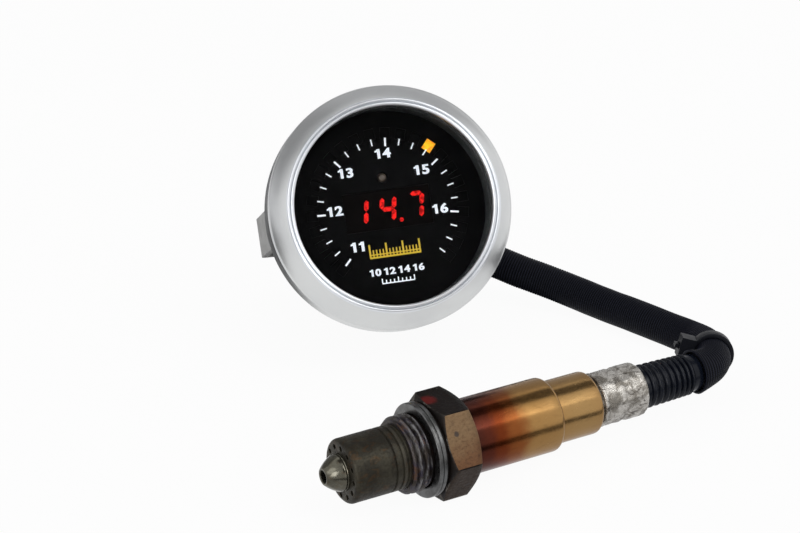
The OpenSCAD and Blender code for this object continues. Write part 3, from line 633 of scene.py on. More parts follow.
@dataclass(frozen=True)
class Scorched(Finish):
    """Steel with burnt scale, worn bright on its edges, and patches of a third tone."""

    third: Triple = (0.1, 0.05, 0.03)
    third_share: float = 0.5
    metal_share: float = 0.6
    edge_wear: float = 1.0

    def paint(self, g: Graph, spot: Socket) -> None:
        """Sets the main shader.

        Args:
            g: Node tree of the material.
            spot: Position in the place's own millimetres.
        """
        big = g.noise(spot, self.mottle, 5.0, 0.62, 0.8)
        other = g.noise(g.stretched(spot, 1.3, 1.3, 0.7), self.mottle * 1.7, 6.0, 0.7, 1.2)
        fine = g.noise(spot, self.mottle * 9, 5.0, 0.7)
        base = g.mixed(g.steps(big, 0.38, 0.62), self.tone, self.second)
        base = g.mixed(g.times(g.steps(other, 0.52, 0.66), self.third_share), base, self.third)
        base = g.mixed(g.steps(fine, 0.35, 0.72, 0.0, 0.45), base, g.stained(base, (0.45, 0.42, 0.4)))
        edge = g.put("NewGeometry", {}).outputs["Pointiness"]
        worn = g.times(g.steps(edge, 0.52, 0.6, 0.0, self.edge_wear), g.steps(fine, 0.35, 0.6))
        g.set(Base_Color=g.mixed(worn, base, (0.42, 0.38, 0.33)))
        g.set(Metallic=g.steps(other, 0.35, 0.7, self.metal_share * 0.6, self.metal))
        g.set(Roughness=g.steps(fine, 0.3, 0.7, *self.rough), Specular_IOR_Level=self.shine_level)
        g.set(Normal=g.bump(fine, self.depth * 2, self.relief(g, spot)))


@dataclass(frozen=True)
class Weave(Finish):
    """Fabric sleeve woven round the lead, read from the piece's own span of turns and millimetres, with
    painted shade in the grooves between its ribs and painted lighter crests.
    """

    strands: int = 56
    pitch: float = 0.65

    def paint(self, g: Graph, spot: Socket) -> None:
        """Sets the main shader.

        Args:
            g: Node tree of the material.
            spot: Position in the place's own millimetres.
        """
        turns, along, _ = g.parts(g.put("UVMap", {}, uv_map="span").outputs[0])
        warp = g.math("SINE", g.times(turns, 2 * math.pi * self.strands))
        weft = g.math("SINE", g.times(along, 2 * math.pi / self.pitch))
        knit = g.times(warp, weft)
        lint = g.noise(spot, 9.0, 4.0, 0.7)
        # Painted shade and highlight: the colour goes dark in the grooves between the ribs and lighter on
        # their crests, in step with the sleeve's rib shape.
        crest = g.math("COSINE", g.times(along, 2 * math.pi / self.pitch))
        tone = g.mixed(g.steps(g.plus(crest, g.times(knit, 0.4)), -0.5, 1.0), self.tone, self.second)
        patch = g.steps(g.noise(spot, 0.35, 4.0, 0.6), 0.45, 0.75, 0.0, 0.3)
        tone = g.mixed(patch, tone, (0.010, 0.0105, 0.014))
        g.set(Base_Color=g.mixed(g.steps(lint, 0.62, 0.8, 0.0, 0.2), tone, (0.05, 0.05, 0.055)))
        g.set(Roughness=g.steps(knit, -1.0, 1.0, self.rough[1], self.rough[0]))
        g.set(Sheen_Weight=self.sheen, Sheen_Roughness=0.45, Specular_IOR_Level=self.shine_level)
        g.set(Normal=g.bump(knit, self.depth, g.bump(lint, self.depth * 0.5)))


@dataclass(frozen=True)
class Glow(Finish):
    """A lamp behind a diffusing face; also used for printed ink, where the emission is a painted glow that
    adds light to it.
    """

    shine: Triple = (1.0, 0.1, 0.05)
    dim: Triple = (0.4, 0.0, 0.0)
    power: float = 1.0
    spots: float = 1.6

    def paint(self, g: Graph, spot: Socket) -> None:
        """Sets the main shader.

        Args:
            g: Node tree of the material.
            spot: Position in the place's own millimetres.
        """
        patch = g.noise(spot, self.spots, 3.0, 0.6, 0.5)
        colour = g.mixed(g.steps(patch, 0.36, 0.6), self.dim, self.shine)
        g.set(Base_Color=g.mixed(0.85, colour, self.tone), Specular_IOR_Level=self.shine_level)
        g.set(Emission_Color=colour, Emission_Strength=self.power)
        g.set(Roughness=g.steps(patch, 0.3, 0.7, *self.rough), Normal=self.relief(g, spot))


@dataclass(frozen=True)
class Glass(Finish):
    """Clear lens that lets the lamps' light through to the dial."""

    def paint(self, g: Graph, spot: Socket) -> None:
        """Sets the main shader, and lets shadow rays through.

        Args:
            g: Node tree of the material.
            spot: Position in the place's own millimetres.
        """
        g.set(Base_Color=self.tone, Transmission_Weight=1.0, IOR=1.45, Roughness=self.rough[0])
        clear = g.put("BsdfTransparent", {0: (0.96, 0.97, 0.97)})
        shade = g.put("LightPath", {}).outputs["Is Shadow Ray"]
        blend = g.put("MixShader", {0: shade, 1: g.shader.outputs[0], 2: clear.outputs[0]})
        g.feed(g.end.inputs[0], blend.outputs[0])


@dataclass(frozen=True)
class Smeared(Finish):
    """Thread with grey paste dragged along its turns, over coloured steel."""

    paste: Triple = (0.42, 0.42, 0.43)

    def paint(self, g: Graph, spot: Socket) -> None:
        """Sets the main shader.

        Args:
            g: Node tree of the material.
            spot: Position in the place's own millimetres.
        """
        radius, turn = g.around(spot)
        _, _, along = g.parts(spot)
        drag = g.joined(g.times(turn, 3.0), along, radius)
        steel = g.ramp(
            g.noise(spot, 0.3, 4.0, 0.6, 0.7), (0.3, (0.03, 0.024, 0.019)), (0.46, (0.05, 0.04, 0.034)),
            (0.56, (0.045, 0.04, 0.06)), (0.64, (0.10, 0.055, 0.035)), (0.74, (0.04, 0.03, 0.025))
        )
        patch = g.noise(drag, 0.55, 6.0, 0.7, 0.8)
        grey = g.mixed(g.noise(spot, 2.5, 5.0, 0.7), self.paste, self.second)
        zone = g.steps(along, -11.6, -9.6, 0.25, 1.0)
        cover = g.times(g.steps(patch, 0.44, 0.62), g.times(zone, g.steps(radius, 8.0, 8.9, 0.15, 0.85)))
        fleck = g.steps(g.cells(spot, 0.75), 0.0, 0.16, 1.0, 0.0)
        tone = g.mixed(cover, steel, grey)
        g.set(Base_Color=g.mixed(g.times(fleck, g.steps(patch, 0.5, 0.7)), tone, (0.62, 0.62, 0.6)))
        g.set(Metallic=g.math("SUBTRACT", 0.85, g.times(cover, 0.55)))
        g.set(Roughness=g.steps(patch, 0.35, 0.7, *self.rough))
        g.set(Normal=g.bump(patch, 0.12, g.bump(g.noise(spot, 4.0, 5.0, 0.7), 0.04)))


@dataclass(frozen=True)
class Tanned(Finish):
    """Facet of the hexagon that the heat has turned tan, browner lower down, with one dark spot."""

    mark: Triple = (-6.93, -8.70, -1.3)
    mark_r: float = 0.55
    mark_tone: Triple = (0.035, 0.026, 0.024)

    def paint(self, g: Graph, spot: Socket) -> None:
        """Sets the main shader.

        Args:
            g: Node tree of the material.
            spot: Position in the place's own millimetres.
        """
        down, _, along = g.parts(spot)
        drift = g.plus(g.times(g.noise(spot, 0.22, 5.0, 0.65, 0.5), 6.0), g.plus(down, g.times(along, 0.35)))
        base = g.mixed(g.steps(drift, -3.6, 1.6), self.tone, self.second)
        fine = g.noise(g.stretched(spot, 1.0, 1.0, 0.6), 1.9, 6.0, 0.7)
        base = g.mixed(g.steps(fine, 0.45, 0.7, 0.0, 0.65), base, g.stained(base, (0.5, 0.42, 0.36)))
        soot = g.steps(g.noise(spot, 0.5, 6.0, 0.75, 1.0), 0.5, 0.72, 0.0, 0.7)
        base = g.mixed(soot, base, g.stained(base, (0.42, 0.44, 0.46)))
        away = g.put("VectorMath", {0: spot, 1: self.mark}, operation="DISTANCE").outputs["Value"]
        ragged = g.plus(away, g.times(g.math("SUBTRACT", fine, 0.5), 0.9))
        share = g.steps(ragged, self.mark_r * 0.6, self.mark_r * 1.5, 0.85, 0.0)
        g.set(Base_Color=g.mixed(share, base, self.mark_tone), Metallic=self.metal)
        g.set(Roughness=g.steps(fine, 0.3, 0.7, *self.rough), Specular_IOR_Level=self.shine_level)
        g.set(Normal=g.bump(fine, 0.03, self.relief(g, spot)))


@dataclass(frozen=True)
class Laminate(Finish):
    """Printed circuit board with tracks under its green mask."""

    def paint(self, g: Graph, spot: Socket) -> None:
        """Sets the main shader.

        Args:
            g: Node tree of the material.
            spot: Position in the place's own millimetres.
        """
        inputs = {"Color1": self.second, "Color2": self.tone, "Mortar": self.tone}
        tracks = g.put("TexBrick", {"Vector": spot, "Scale": 0.35, "Mortar Size": 0.03} | inputs).outputs[0]
        g.set(Base_Color=g.mixed(g.steps(g.noise(spot, 0.2, 3.0), 0.4, 0.6), self.tone, tracks))
        g.set(Roughness=g.steps(g.noise(spot, 3.0, 3.0), 0.3, 0.7, *self.rough), Normal=self.relief(g, spot))


DIAL_BLACK = Finish(
    "dial_black_ink", (0.0018, 0.0018, 0.002), (0.003, 0.003, 0.0034), (0.5, 0.65), grain=Grain.POLISHED,
    fine=2.0, depth=0.002, shine_level=0.03
)
BEZEL_SATIN = Finish(
    "satin_aluminium", (0.665, 0.675, 0.675), (0.625, 0.635, 0.64), (0.34, 0.42), 1.0, Grain.TURNED, 0.06,
    5.0, 0.003
)
LIP_BRIGHT = Finish(
    "bright_lip", (0.72, 0.74, 0.77), (0.68, 0.70, 0.73), (0.28, 0.34), 1.0, Grain.POLISHED, 0.1, 5.0, 0.001
)
LENS_CLEAR = Glass("clear_lens", (1.0, 1.0, 1.0), (1.0, 1.0, 1.0), (0.0, 0.0))
SEAL_RUBBER = Finish("seal_rubber", (0.012, 0.012, 0.013), (0.02, 0.02, 0.02), (0.5, 0.7))
REVEAL_GREY = Finish(
    "reveal_grey", (0.040, 0.044, 0.045), (0.055, 0.060, 0.060), (0.45, 0.6), shine_level=0.12
)
WINDOW_SMOKE = replace(DIAL_BLACK, name="smoked_window", second=(0.0028, 0.0028, 0.0032))
AMBER_GLOW = Glow(
    "amber_glow", (0.12, 0.03, 0.0), (0.12, 0.03, 0.0), shine=(1.0, 0.58, 0.002), dim=(0.92, 0.24, 0.001),
    power=1.0, spots=0.9
)
RED_GLOW = Glow(
    "red_glow", (0.05, 0.001, 0.001), (0.05, 0.001, 0.001), shine=(0.90, 0.012, 0.008), dim=(0.30, 0.0, 0.0),
    power=1.0, spots=1.1, shine_level=0.1
)
DISPLAY_DARK = replace(
    DIAL_BLACK, name="display_dark", tone=(0.0018, 0.0014, 0.0014), second=(0.003, 0.002, 0.002),
    shine_level=0.02
)
SENSOR_EYE = Finish(
    "sensor_eye", (0.115, 0.088, 0.066), (0.035, 0.026, 0.02), (0.25, 0.4), mottle=0.9, coat=0.5
)
# Printed ink with a painted glow: it emits a little light of its own, so the white and yellow print stays
# bright behind the lens.
WHITE_INK_PAINTED_GLOW = Glow(
    "white_ink_painted_glow", (0.93, 0.96, 1.0), (0.86, 0.90, 0.96), (0.5, 0.6), fine=10.0, depth=0.003,
    shine=(0.86, 0.93, 1.0), dim=(0.74, 0.80, 0.88), power=0.24, spots=0.9
)
YELLOW_INK_PAINTED_GLOW = Glow(
    "yellow_ink_painted_glow", (0.62, 0.43, 0.01), (0.52, 0.36, 0.01), (0.5, 0.6), fine=10.0, depth=0.003,
    shine=(0.75, 0.5, 0.01), dim=(0.55, 0.36, 0.01), power=0.12, spots=0.9
)
CAN_BLACK = Finish(
    "can_plastic", (0.012, 0.0125, 0.014), (0.02, 0.0205, 0.022), (0.42, 0.6), fine=7.0, depth=0.02
)
COVER_BLACK = Finish(
    "cover_plastic", (0.016, 0.0165, 0.018), (0.024, 0.0245, 0.026), (0.45, 0.62), fine=6.0, depth=0.025
)
SOCKET_BLACK = Finish(
    "socket_plastic", (0.009, 0.009, 0.009), (0.015, 0.015, 0.015), (0.3, 0.45), fine=9.0, depth=0.01
)
RELIEF_RUBBER = Finish("relief_rubber", (0.008, 0.008, 0.009), (0.016, 0.016, 0.017), (0.5, 0.72), sheen=0.15)
ZINC = Finish("zinc_screws", (0.55, 0.55, 0.52), (0.42, 0.42, 0.38), (0.25, 0.4), 1.0, Grain.POLISHED, 0.5)
STUD_STEEL = Finish(
    "stud_steel", (0.5, 0.5, 0.48), (0.38, 0.38, 0.36), (0.25, 0.42), 1.0, Grain.TURNED, 0.4, 5.0, 0.006
)
WASHER_STEEL = Finish(
    "washer_steel", (0.56, 0.56, 0.55), (0.44, 0.44, 0.43), (0.22, 0.38), 1.0, Grain.ROLLED, 0.4
)
NUT_BRASS = Finish("nut_plate", (0.50, 0.46, 0.36), (0.38, 0.34, 0.26), (0.22, 0.4), 1.0, Grain.TURNED, 0.5)
CLAMP_ZINC = Finish(
    "clamp_zinc", (0.80, 0.80, 0.79), (0.70, 0.70, 0.69), (0.30, 0.45), 0.25, Grain.ROLLED, 0.3, 3.0, 0.01
)
CONTACT_GOLD = Finish(
    "contact_gold", (0.78, 0.56, 0.24), (0.66, 0.44, 0.16), (0.2, 0.35), 1.0, Grain.POLISHED, 0.8
)
NOSE_STEEL = Scorched(
    "nose_steel", (0.135, 0.128, 0.098), (0.080, 0.075, 0.057), (0.13, 0.2), 1.0, Grain.TURNED, 0.15, 5.0,
    0.002, place=SENSOR, third=(0.12, 0.075, 0.045), third_share=0.4, metal_share=1.0, edge_wear=0.0
)
TUBE_STEEL = Scorched(
    "tube_scale", (0.046, 0.041, 0.028), (0.025, 0.022, 0.0155), (0.40, 0.58), 0.75, Grain.CAST, 0.20, 4.0,
    0.015, place=SENSOR, third=(0.085, 0.046, 0.022), third_share=0.5, metal_share=0.6, edge_wear=0.25,
    shine_level=0.25
)
HEX_TANNED = Tanned(
    "hexagon_tan", (0.20, 0.120, 0.056), (0.140, 0.060, 0.021), (0.40, 0.56), 0.5, Grain.CAST, 0.25, 4.0,
    0.02, place=SENSOR
)
HEX_BURNT = Scorched(
    "hexagon_scale", (0.008, 0.0065, 0.006), (0.016, 0.012, 0.010), (0.42, 0.6), 0.35, Grain.CAST, 0.12, 4.0,
    0.015, shine_level=0.12, place=SENSOR, third=(0.03, 0.012, 0.007), third_share=0.6, metal_share=0.3,
    edge_wear=0.35
)
HEX_BROWN = Tanned(
    "hexagon_brown", (0.050, 0.033, 0.019), (0.032, 0.019, 0.011), (0.4, 0.55), 0.4, Grain.CAST, 0.25, 4.0,
    0.02, shine_level=0.08, place=SENSOR, mark=(6.5, -9.0, 1.5)
)
HEX_DARK = Tanned(
    "hexagon_dark", (0.012, 0.009, 0.008), (0.02, 0.012, 0.010), (0.36, 0.5), 0.35, Grain.CAST, 0.25, 4.0,
    0.02, shine_level=0.12, place=SENSOR, mark=(-11.0, 1.6, -2.6), mark_r=1.7, mark_tone=(0.16, 0.012, 0.010)
)
THREAD_PASTE = Smeared("thread_paste", (0.1, 0.1, 0.1), (0.07, 0.065, 0.065), (0.34, 0.6), 0.8, place=SENSOR)
RING_STEEL = Finish(
    "seal_ring_steel", (0.15, 0.152, 0.152), (0.09, 0.088, 0.086), (0.26, 0.42), 1.0, Grain.TURNED, 0.4, 5.0,
    0.008, place=SENSOR
)
SLEEVE_BANDS = (
    (0.0, (0.056, 0.018, 0.013)), (0.10, (0.088, 0.021, 0.012)), (0.19, (0.145, 0.030, 0.009)),
    (0.29, (0.23, 0.072, 0.020)), (0.42, (0.35, 0.195, 0.068)), (0.8, (0.37, 0.225, 0.090)),
    (1.0, (0.35, 0.205, 0.082)),
)
SLEEVE_TINT = HeatTint(
    "sleeve_tint", (0.45, 0.28, 0.12), (0.42, 0.36, 0.34), (0.18, 0.28), 1.0, Grain.TURNED, 0.25, 5.0,
    0.0006, place=SENSOR, bands=SLEEVE_BANDS
)
COLLAR_STEEL = Scorched(
    "collar_steel", (0.66, 0.635, 0.59), (0.25, 0.23, 0.20), (0.18, 0.34), 1.0, Grain.ROLLED, 0.36, 1.2,
    0.05, place=SENSOR, third=(0.085, 0.072, 0.06), third_share=0.9, metal_share=1.0, edge_wear=0.0
)
BOOT_RUBBER = Finish(
    "boot_rubber", (0.004, 0.0055, 0.0105), (0.0065, 0.0085, 0.015), (0.2, 0.3), fine=6.0, depth=0.003,
    shine_level=0.18, place=SENSOR
)
# Its first tone is painted shade for the rib grooves, its second the painted lighter rib crests.
SLEEVE_FABRIC = Weave(
    "sleeve_fabric", (0.0015, 0.0018, 0.003), (0.0145, 0.016, 0.026), (0.34, 0.5), depth=0.03,
    shine_level=0.05, place=WORLD
)
TIE_NYLON = Finish(
    "tie_nylon", (0.009, 0.010, 0.014), (0.013, 0.014, 0.018), (0.34, 0.46), fine=5.0, depth=0.004,
    shine_level=0.1, place=WORLD
)
CERAMIC = Finish(
    "ceramic", (0.72, 0.71, 0.66), (0.62, 0.60, 0.55), (0.6, 0.8), grain=Grain.CAST, place=SENSOR
)
BOARD_GREEN = Laminate("board_green", (0.01, 0.085, 0.03), (0.02, 0.14, 0.05), (0.3, 0.45))
BRASS = Finish("spacer_brass", (0.6, 0.45, 0.2), (0.5, 0.36, 0.15), (0.25, 0.4), 1.0, Grain.TURNED)
LINK_PLASTIC = Finish("link_plastic", (0.01, 0.01, 0.01), (0.016, 0.016, 0.016), (0.35, 0.5))
CHIP_RESIN = Finish("chip_resin", (0.014, 0.014, 0.014), (0.02, 0.02, 0.02), (0.45, 0.6))
BAFFLE_PLASTIC = Finish("baffle_plastic", (0.006, 0.006, 0.006), (0.01, 0.01, 0.01), (0.55, 0.7))
CAPACITOR = Finish("capacitor_can", (0.5, 0.5, 0.5), (0.4, 0.4, 0.42), (0.2, 0.35), 1.0, Grain.POLISHED)
LAMP_RESIN = Finish("lamp_resin", (0.7, 0.62, 0.4), (0.6, 0.52, 0.3), (0.2, 0.35), coat=0.4)


def dress(finishes: dict[str, Finish]) -> None:
    """Gives CAD nodes that stay their finishes.

    Args:
        finishes: Finish by name of the node.
    """
    for node, finish in finishes.items():
        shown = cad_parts[node]
        shown.data.materials.clear()
        shown.data.materials.append(finish.material())
        LOG.info("%s: carried over with %s", node, finish.name)


# Studio


@dataclass
class Studio:
    """Camera, floor, lamps and the cards that metals mirror, in metres.

    backdrop: name, foot and tone of the tall cards. on_floor: name, two corners and tone.
    strips: name, near and far side, height, tone, shift and half length, along the sensor.
    lens_card and nose_card: distance, half width, half height and tone.
    """

    camera_at: Triple = (-0.1088, -0.52455, 0.27918)
    camera_turn: Triple = (65.0, 0.0, -9.75)
    lens: float = 110.16
    floor_half: float = 2.5
    ambient: float = 0.52
    floor_glow: float = 0.95
    card_lift: float = 0.0006
    backdrop: tuple[tuple[str, Profile, float], ...] = (
        ("grey_back_left", [(-0.8, 0.35), (-0.2, 0.7), (-0.2, 0.6), (-0.8, 0.25)], 0.28),
        ("grey_back", [(-0.2, 0.7), (0.7, 0.7), (0.7, 0.6), (-0.2, 0.6)], 0.48),
    )
    on_floor: tuple[tuple[str, Pair, Pair, float], ...] = (
        ("grey_left", (-0.8, -0.05), (-0.14, 0.4), 0.85), ("dark_behind", (-0.14, 0.03), (0.05, 0.35), 0.04),
    )
    strips: tuple[tuple[str, float, float, float, float, float, float], ...] = (
        ("dark_overhead", -0.22, 0.09, 0.55, 0.13, 0.27, 0.5),
        ("dark_front", 0.032, 0.10, 0.0006, 0.12, 0.03, 0.12),
        ("dim_front", 0.0, 0.0315, 0.0006, 0.72, 0.03, 0.12),
    )
    lamps: tuple[tuple[str, Triple, float, float], ...] = (
        ("key", (0.45, -0.55, 0.85), 0.5, 2.6), ("fill", (-0.7, -0.5, 0.6), 0.5, 1.1),
    )
    lens_way: Triple = (0.1535, -0.8317, 0.5335)
    lens_across: Triple = (0.98, 0.18, 0.0)
    lens_card: tuple[float, float, float, float] = (0.9, 0.16, 0.16, 0.01)
    nose_way: Triple = (-0.476, -0.815, 0.323)
    nose_card: tuple[float, float, float, float] = (0.5, 0.07, 0.12, 5.5)
    nose_back: float = 0.028
    strip_shift: float = 0.02
    backdrop_z: Pair = (0.02, 0.8)
    aim: Triple = (0.0, 0.0, 0.03)

    def camera(self) -> None:
        """Puts the camera at the photograph's angle."""
        data = bpy.data.cameras.new("camera")
        data.lens, data.sensor_width, data.clip_start = self.lens, 36.0, 0.01
        eye = bpy.data.objects.new("camera", data)
        eye.location = self.camera_at
        eye.rotation_euler = tuple(math.radians(a) for a in self.camera_turn)
        bpy.context.scene.collection.objects.link(eye)
        bpy.context.scene.camera = eye

    def sheet(self, name: str, corners: Sequence[Triple], material: bpy.types.Material) -> bpy.types.Object:
        """Adds a flat stage piece from its corners.

        Args:
            name: Name of the piece.
            corners: Its corners in metres.
            material: Its material.

        Returns:
            The new object.
        """
        mesh = bpy.data.meshes.new(name)
        mesh.from_pydata(corners, [], [tuple(range(len(corners)))])
        mesh.materials.append(material)
        piece = bpy.data.objects.new(name, mesh)
        bpy.context.scene.collection.objects.link(piece)
        return piece

    def floor(self) -> None:
        """Lays the white floor, which keeps the object's shadow."""
        g = Graph("floor_white")
        matt = g.put("BsdfDiffuse", {0: (0.88, 0.88, 0.88, 1.0)})
        white = g.put("Emission", {0: (1.0, 1.0, 1.0, 1.0), 1: 1.0})
        share = g.times(g.seen(), self.floor_glow)
        blend = g.put("MixShader", {0: share, 1: matt.outputs[0], 2: white.outputs[0]})
        g.feed(g.end.inputs[0], blend.outputs[0])
        self.sheet("floor", [(a * self.floor_half, b * self.floor_half, 0) for a, b in SQUARE], g.target)

    def card(self, name: str, corners: Sequence[Triple], tone: float) -> None:
        """Adds a card that only mirrors see.

        Args:
            name: Name of the card.
            corners: Its corners in metres.
            tone: Its brightness.
        """
        g = Graph(name)
        grey = g.put("Emission", {0: (tone, tone, tone * 1.02, 1.0), 1: 1.0})
        g.feed(g.end.inputs[0], grey.outputs[0])
        card = self.sheet(name, corners, g.target)
        card.visible_camera = card.visible_diffuse = card.visible_shadow = False

    def facing(
        self, name: str, spot: Vector, across: Vector, rise: Vector, half: Sequence[float], tone: float
    ) -> None:
        """Adds a card by its middle, its two directions and its half sizes.

        Args:
            name: Name of the card.
            spot: Its middle.
            across: Its direction across.
            rise: Its direction upward.
            half: Half width and half height.
            tone: Its brightness.
        """
        corners = [tuple(spot + across * a * half[0] + rise * b * half[1]) for a, b in SQUARE]
        self.card(name, corners, tone)

    def world(self) -> None:
        """Sets the pale surroundings."""
        g = Graph("studio", world=True)
        bpy.context.scene.world = g.target
        strength = g.put("MapRange", {0: g.seen(), 3: self.ambient, 4: 1.0}).outputs[0]
        g.set(Color=(1.0, 1.0, 1.0), Strength=strength)

    def lamp(self, name: str, at: Triple, size: float, watts: float) -> None:
        """Hangs one soft lamp, aimed at the object's middle.

        Args:
            name: Name of the lamp.
            at: Where it hangs.
            size: Side of its square.
            watts: Its power.
        """
        data = bpy.data.lights.new(name, "AREA")
        data.shape, data.size, data.energy = "SQUARE", size, watts
        lamp = bpy.data.objects.new(name, data)
        lamp.location = at
        lamp.rotation_euler = (Vector(at) - Vector(self.aim)).to_track_quat("Z", "Y").to_euler()
        bpy.context.scene.collection.objects.link(lamp)

    def cards(self) -> None:
        """Hangs what the bezel, the lens and the sensor mirror."""
        yaw = math.radians(LAYOUT.sensor_yaw)
        along = Vector((math.cos(yaw), math.sin(yaw), 0.0))
        side = Vector((along.y, -along.x, 0.0))
        middle = SENSOR.origin + along * self.strip_shift
        for name, near, far, height, tone, shift, reach in self.strips:
            corners = ((-1, near), (1, near), (1, far), (-1, far))
            spots = [middle + along * (shift + s * reach) + side * d for s, d in corners]
            self.card(name, [(p.x, p.y, height) for p in spots], tone)
        for name, foot, tone in self.backdrop:
            low, high = self.backdrop_z
            self.card(name, [(*p, z) for p, z in zip(foot, (low, low, high, high))], tone)
        for name, (x0, y0), (x1, y1), tone in self.on_floor:
            foot = [(x0, y0), (x1, y0), (x1, y1), (x0, y1)]
            self.card(name, [(*p, self.card_lift) for p in foot], tone)
        way, across = Vector(self.lens_way), Vector(self.lens_across)
        away, *half, tone = self.lens_card
        self.facing("dark_lens", GAUGE.origin + way * away, across, way.cross(across), half, tone)
        way = Vector(self.nose_way)
        across = way.cross(Vector((0, 0, 1))).normalized()
        away, *half, tone = self.nose_card
        spot = SENSOR.origin - along * self.nose_back + way * away
        self.facing("nose_glint", spot, across, across.cross(way).normalized(), half, tone)

    def build(self) -> None:
        """Sets up the whole studio."""
        self.camera()
        self.world()
        self.floor()
        for lamp in self.lamps:
            self.lamp(*lamp)
        self.cards()
        LOG.info("studio: camera, floor, lamps and cards")


# Lead


@dataclass
class Lead:
    """Sleeved lead from the boot to the strain relief, with its cable tie."""

    radius: float = 4.3
    mouth_r: float = 5.5
    mouth: tuple[Pair, ...] = ((1.9, 1.05), (1.2, 0.95), (0.5, 0.85), (0.15, 0.7), (0.0, 0.45), (0.03, 0.2))
    flare_steps: int = 9
    boot_rear: float = 69.601
    film: float = 0.05
    route_in: float = 3.08
    route_out: float = 7.17
    relief_end: Triple = (21.55, -12.2, -41.8)
    route: tuple[Triple, ...] = (
        (73, -36.5, 10.8), (74, -25.6, 9.1), (75.5, -15.5, 5.3), (72.2, -8.3, 4.1), (66.9, -2.2, 4.6),
        (62.1, 4.9, 4.4), (56.3, 11.3, 4.7), (51.1, 17.2, 5.4), (44.4, 21.7, 7.1), (35.9, 25.8, 9.4),
    )
    fineness: int = 60
    sides: int = 44
    rib_pitch: float = 0.65
    rib_height: float = 0.13
    lump: float = 0.06
    length: float = 0.1048
    tie_step: int = 10
    tie_bore: float = 4.6
    strap_bore: float = 4.28
    strap_t: float = 1.0
    tie_w: float = 3.6
    tie_head: Triple = (3.6, 5.2, 4.6)
    tie_slot: Triple = (0.7, 1.4, 1.9)
    tie_tail: Triple = (1.1, 0.5, 1.2)
    tie_gap: float = 0.05
    tie_turn: float = 105.0
    strap_ribs: int = 60
    strap_groove: float = 0.1

    def controls(self) -> list[Vector]:
        """Control points of the route's curve, in millimetres of the shared frame.

        Returns:
            The points, from inside the boot to inside the strain relief.
        """
        along = SENSOR.turn.to_matrix() @ Vector((0, 0, 1))
        spout = GAUGE.turn.to_matrix() @ Vector((1, 0, 0))
        start = SENSOR.origin / MM + along * (self.boot_rear + self.film)
        stop = GAUGE.point(*self.relief_end) / MM
        foot = Vector((LAYOUT.gauge_x, LAYOUT.gauge_y, 0))
        middle = [foot + Vector(p) for p in self.route]
        first = [start - along * self.route_in, start, start + along * self.route_in]
        last = [stop + spout * self.route_out, stop, stop - spout * self.route_out]
        return first + middle + last

    def curve(self, steps: int) -> list[tuple[Vector, Vector, float]]:
        """Points, directions and step numbers along the route.

        Args:
            steps: Points per span of the curve.

        Returns:
            (point, direction, step number of the solid's own rings) for each.
        """
        posts = self.controls()
        out: list[tuple[Vector, Vector, float]] = []
        spans = len(posts) - 3
        for i in range(spans):
            for j in range(steps + (1 if i == spans - 1 else 0)):
                t = j / steps
                a, b, c, d = posts[i : i + 4]
                wb, wc = 3 * t**3 - 6 * t**2 + 4, 1 + 3 * t + 3 * t**2 - 3 * t**3
                spot = (a * (1 - t) ** 3 + b * wb + c * wc + d * t**3) / 6
                way = a * -((1 - t) ** 2) + b * (3 * t**2 - 4 * t) + c * (1 + 2 * t - 3 * t**2) + d * t**2
                out.append((spot, way.normalized(), 4 * (i + t)))
        return out

    def evenly(self, gap: float) -> list[tuple[Vector, Vector, float, float]]:
        """The route at even distances: point, direction, step number and distance.

        Args:
            gap: Distance from point to point.

        Returns:
            Point, direction, step number and distance of each.
        """
        raw = self.curve(self.fineness)
        out, run, target = [], 0.0, 0.0
        for (p, way, step), (q, _, _) in zip(raw, raw[1:]):
            piece = (q - p).length
            while target <= run + piece:
                out.append((p + (q - p) * ((target - run) / piece), way, step, target))
                target += gap
            run += piece
        out.append((raw[-1][0], raw[-1][1], raw[-1][2], run))
        return out

    def sleeve(self) -> bpy.types.Object:
        """Makes the woven sleeve with its open, widened mouth.

        Returns:
            The sleeve's object.
        """
        piece = Piece("woven_sleeve", WORLD)
        rows: list[list[int]] = []
        path = self.evenly(self.rib_pitch / 5)

        def ring(spot: Vector, way: Vector, radius: float, run: float, lumpy: bool = False) -> list[int]:
            """One ring of points about the route.

            Args:
                spot: Its middle.
                way: Direction of the route.
                radius: Its radius.
                run: Distance along the route.
                lumpy: Whether the sleeve is uneven there.

            Returns:
                Numbers of its points.
            """
            side = way.cross(Vector((0, 0, 1))).normalized()
            rise, row = side.cross(way), []
            for j in range(self.sides):
                turn = 2 * math.pi * j / self.sides
                arm = side * math.cos(turn) + rise * math.sin(turn)
                lump = self.lump * noise.noise(spot * 0.22 + arm * 1.3) if lumpy else 0.0
                row.append(piece.add(*(spot + arm * (radius + lump)), j / self.sides, run))
            return row

        first, way, _, _ = path[0]
        for deep, inset in self.mouth:
            rows.append(ring(first + way * deep, way, self.mouth_r - inset, deep))
        piece.face(rows[0])
        for spot, way, step, run in path[1:]:
            flare = max(0.0, 1 - step / self.flare_steps) ** 2
            wave = math.cos(2 * math.pi * run / self.rib_pitch)
            radius = self.radius + (self.mouth_r - self.radius) * flare
            rows.append(ring(spot, way, radius - self.rib_height * (0.5 - 0.5 * wave), run, True))
        piece.grid(rows, flip=True)
        piece.face(rows[-1])
        return piece.make([SLEEVE_FABRIC], stands_for=["lead_sleeve"], sharp=50)

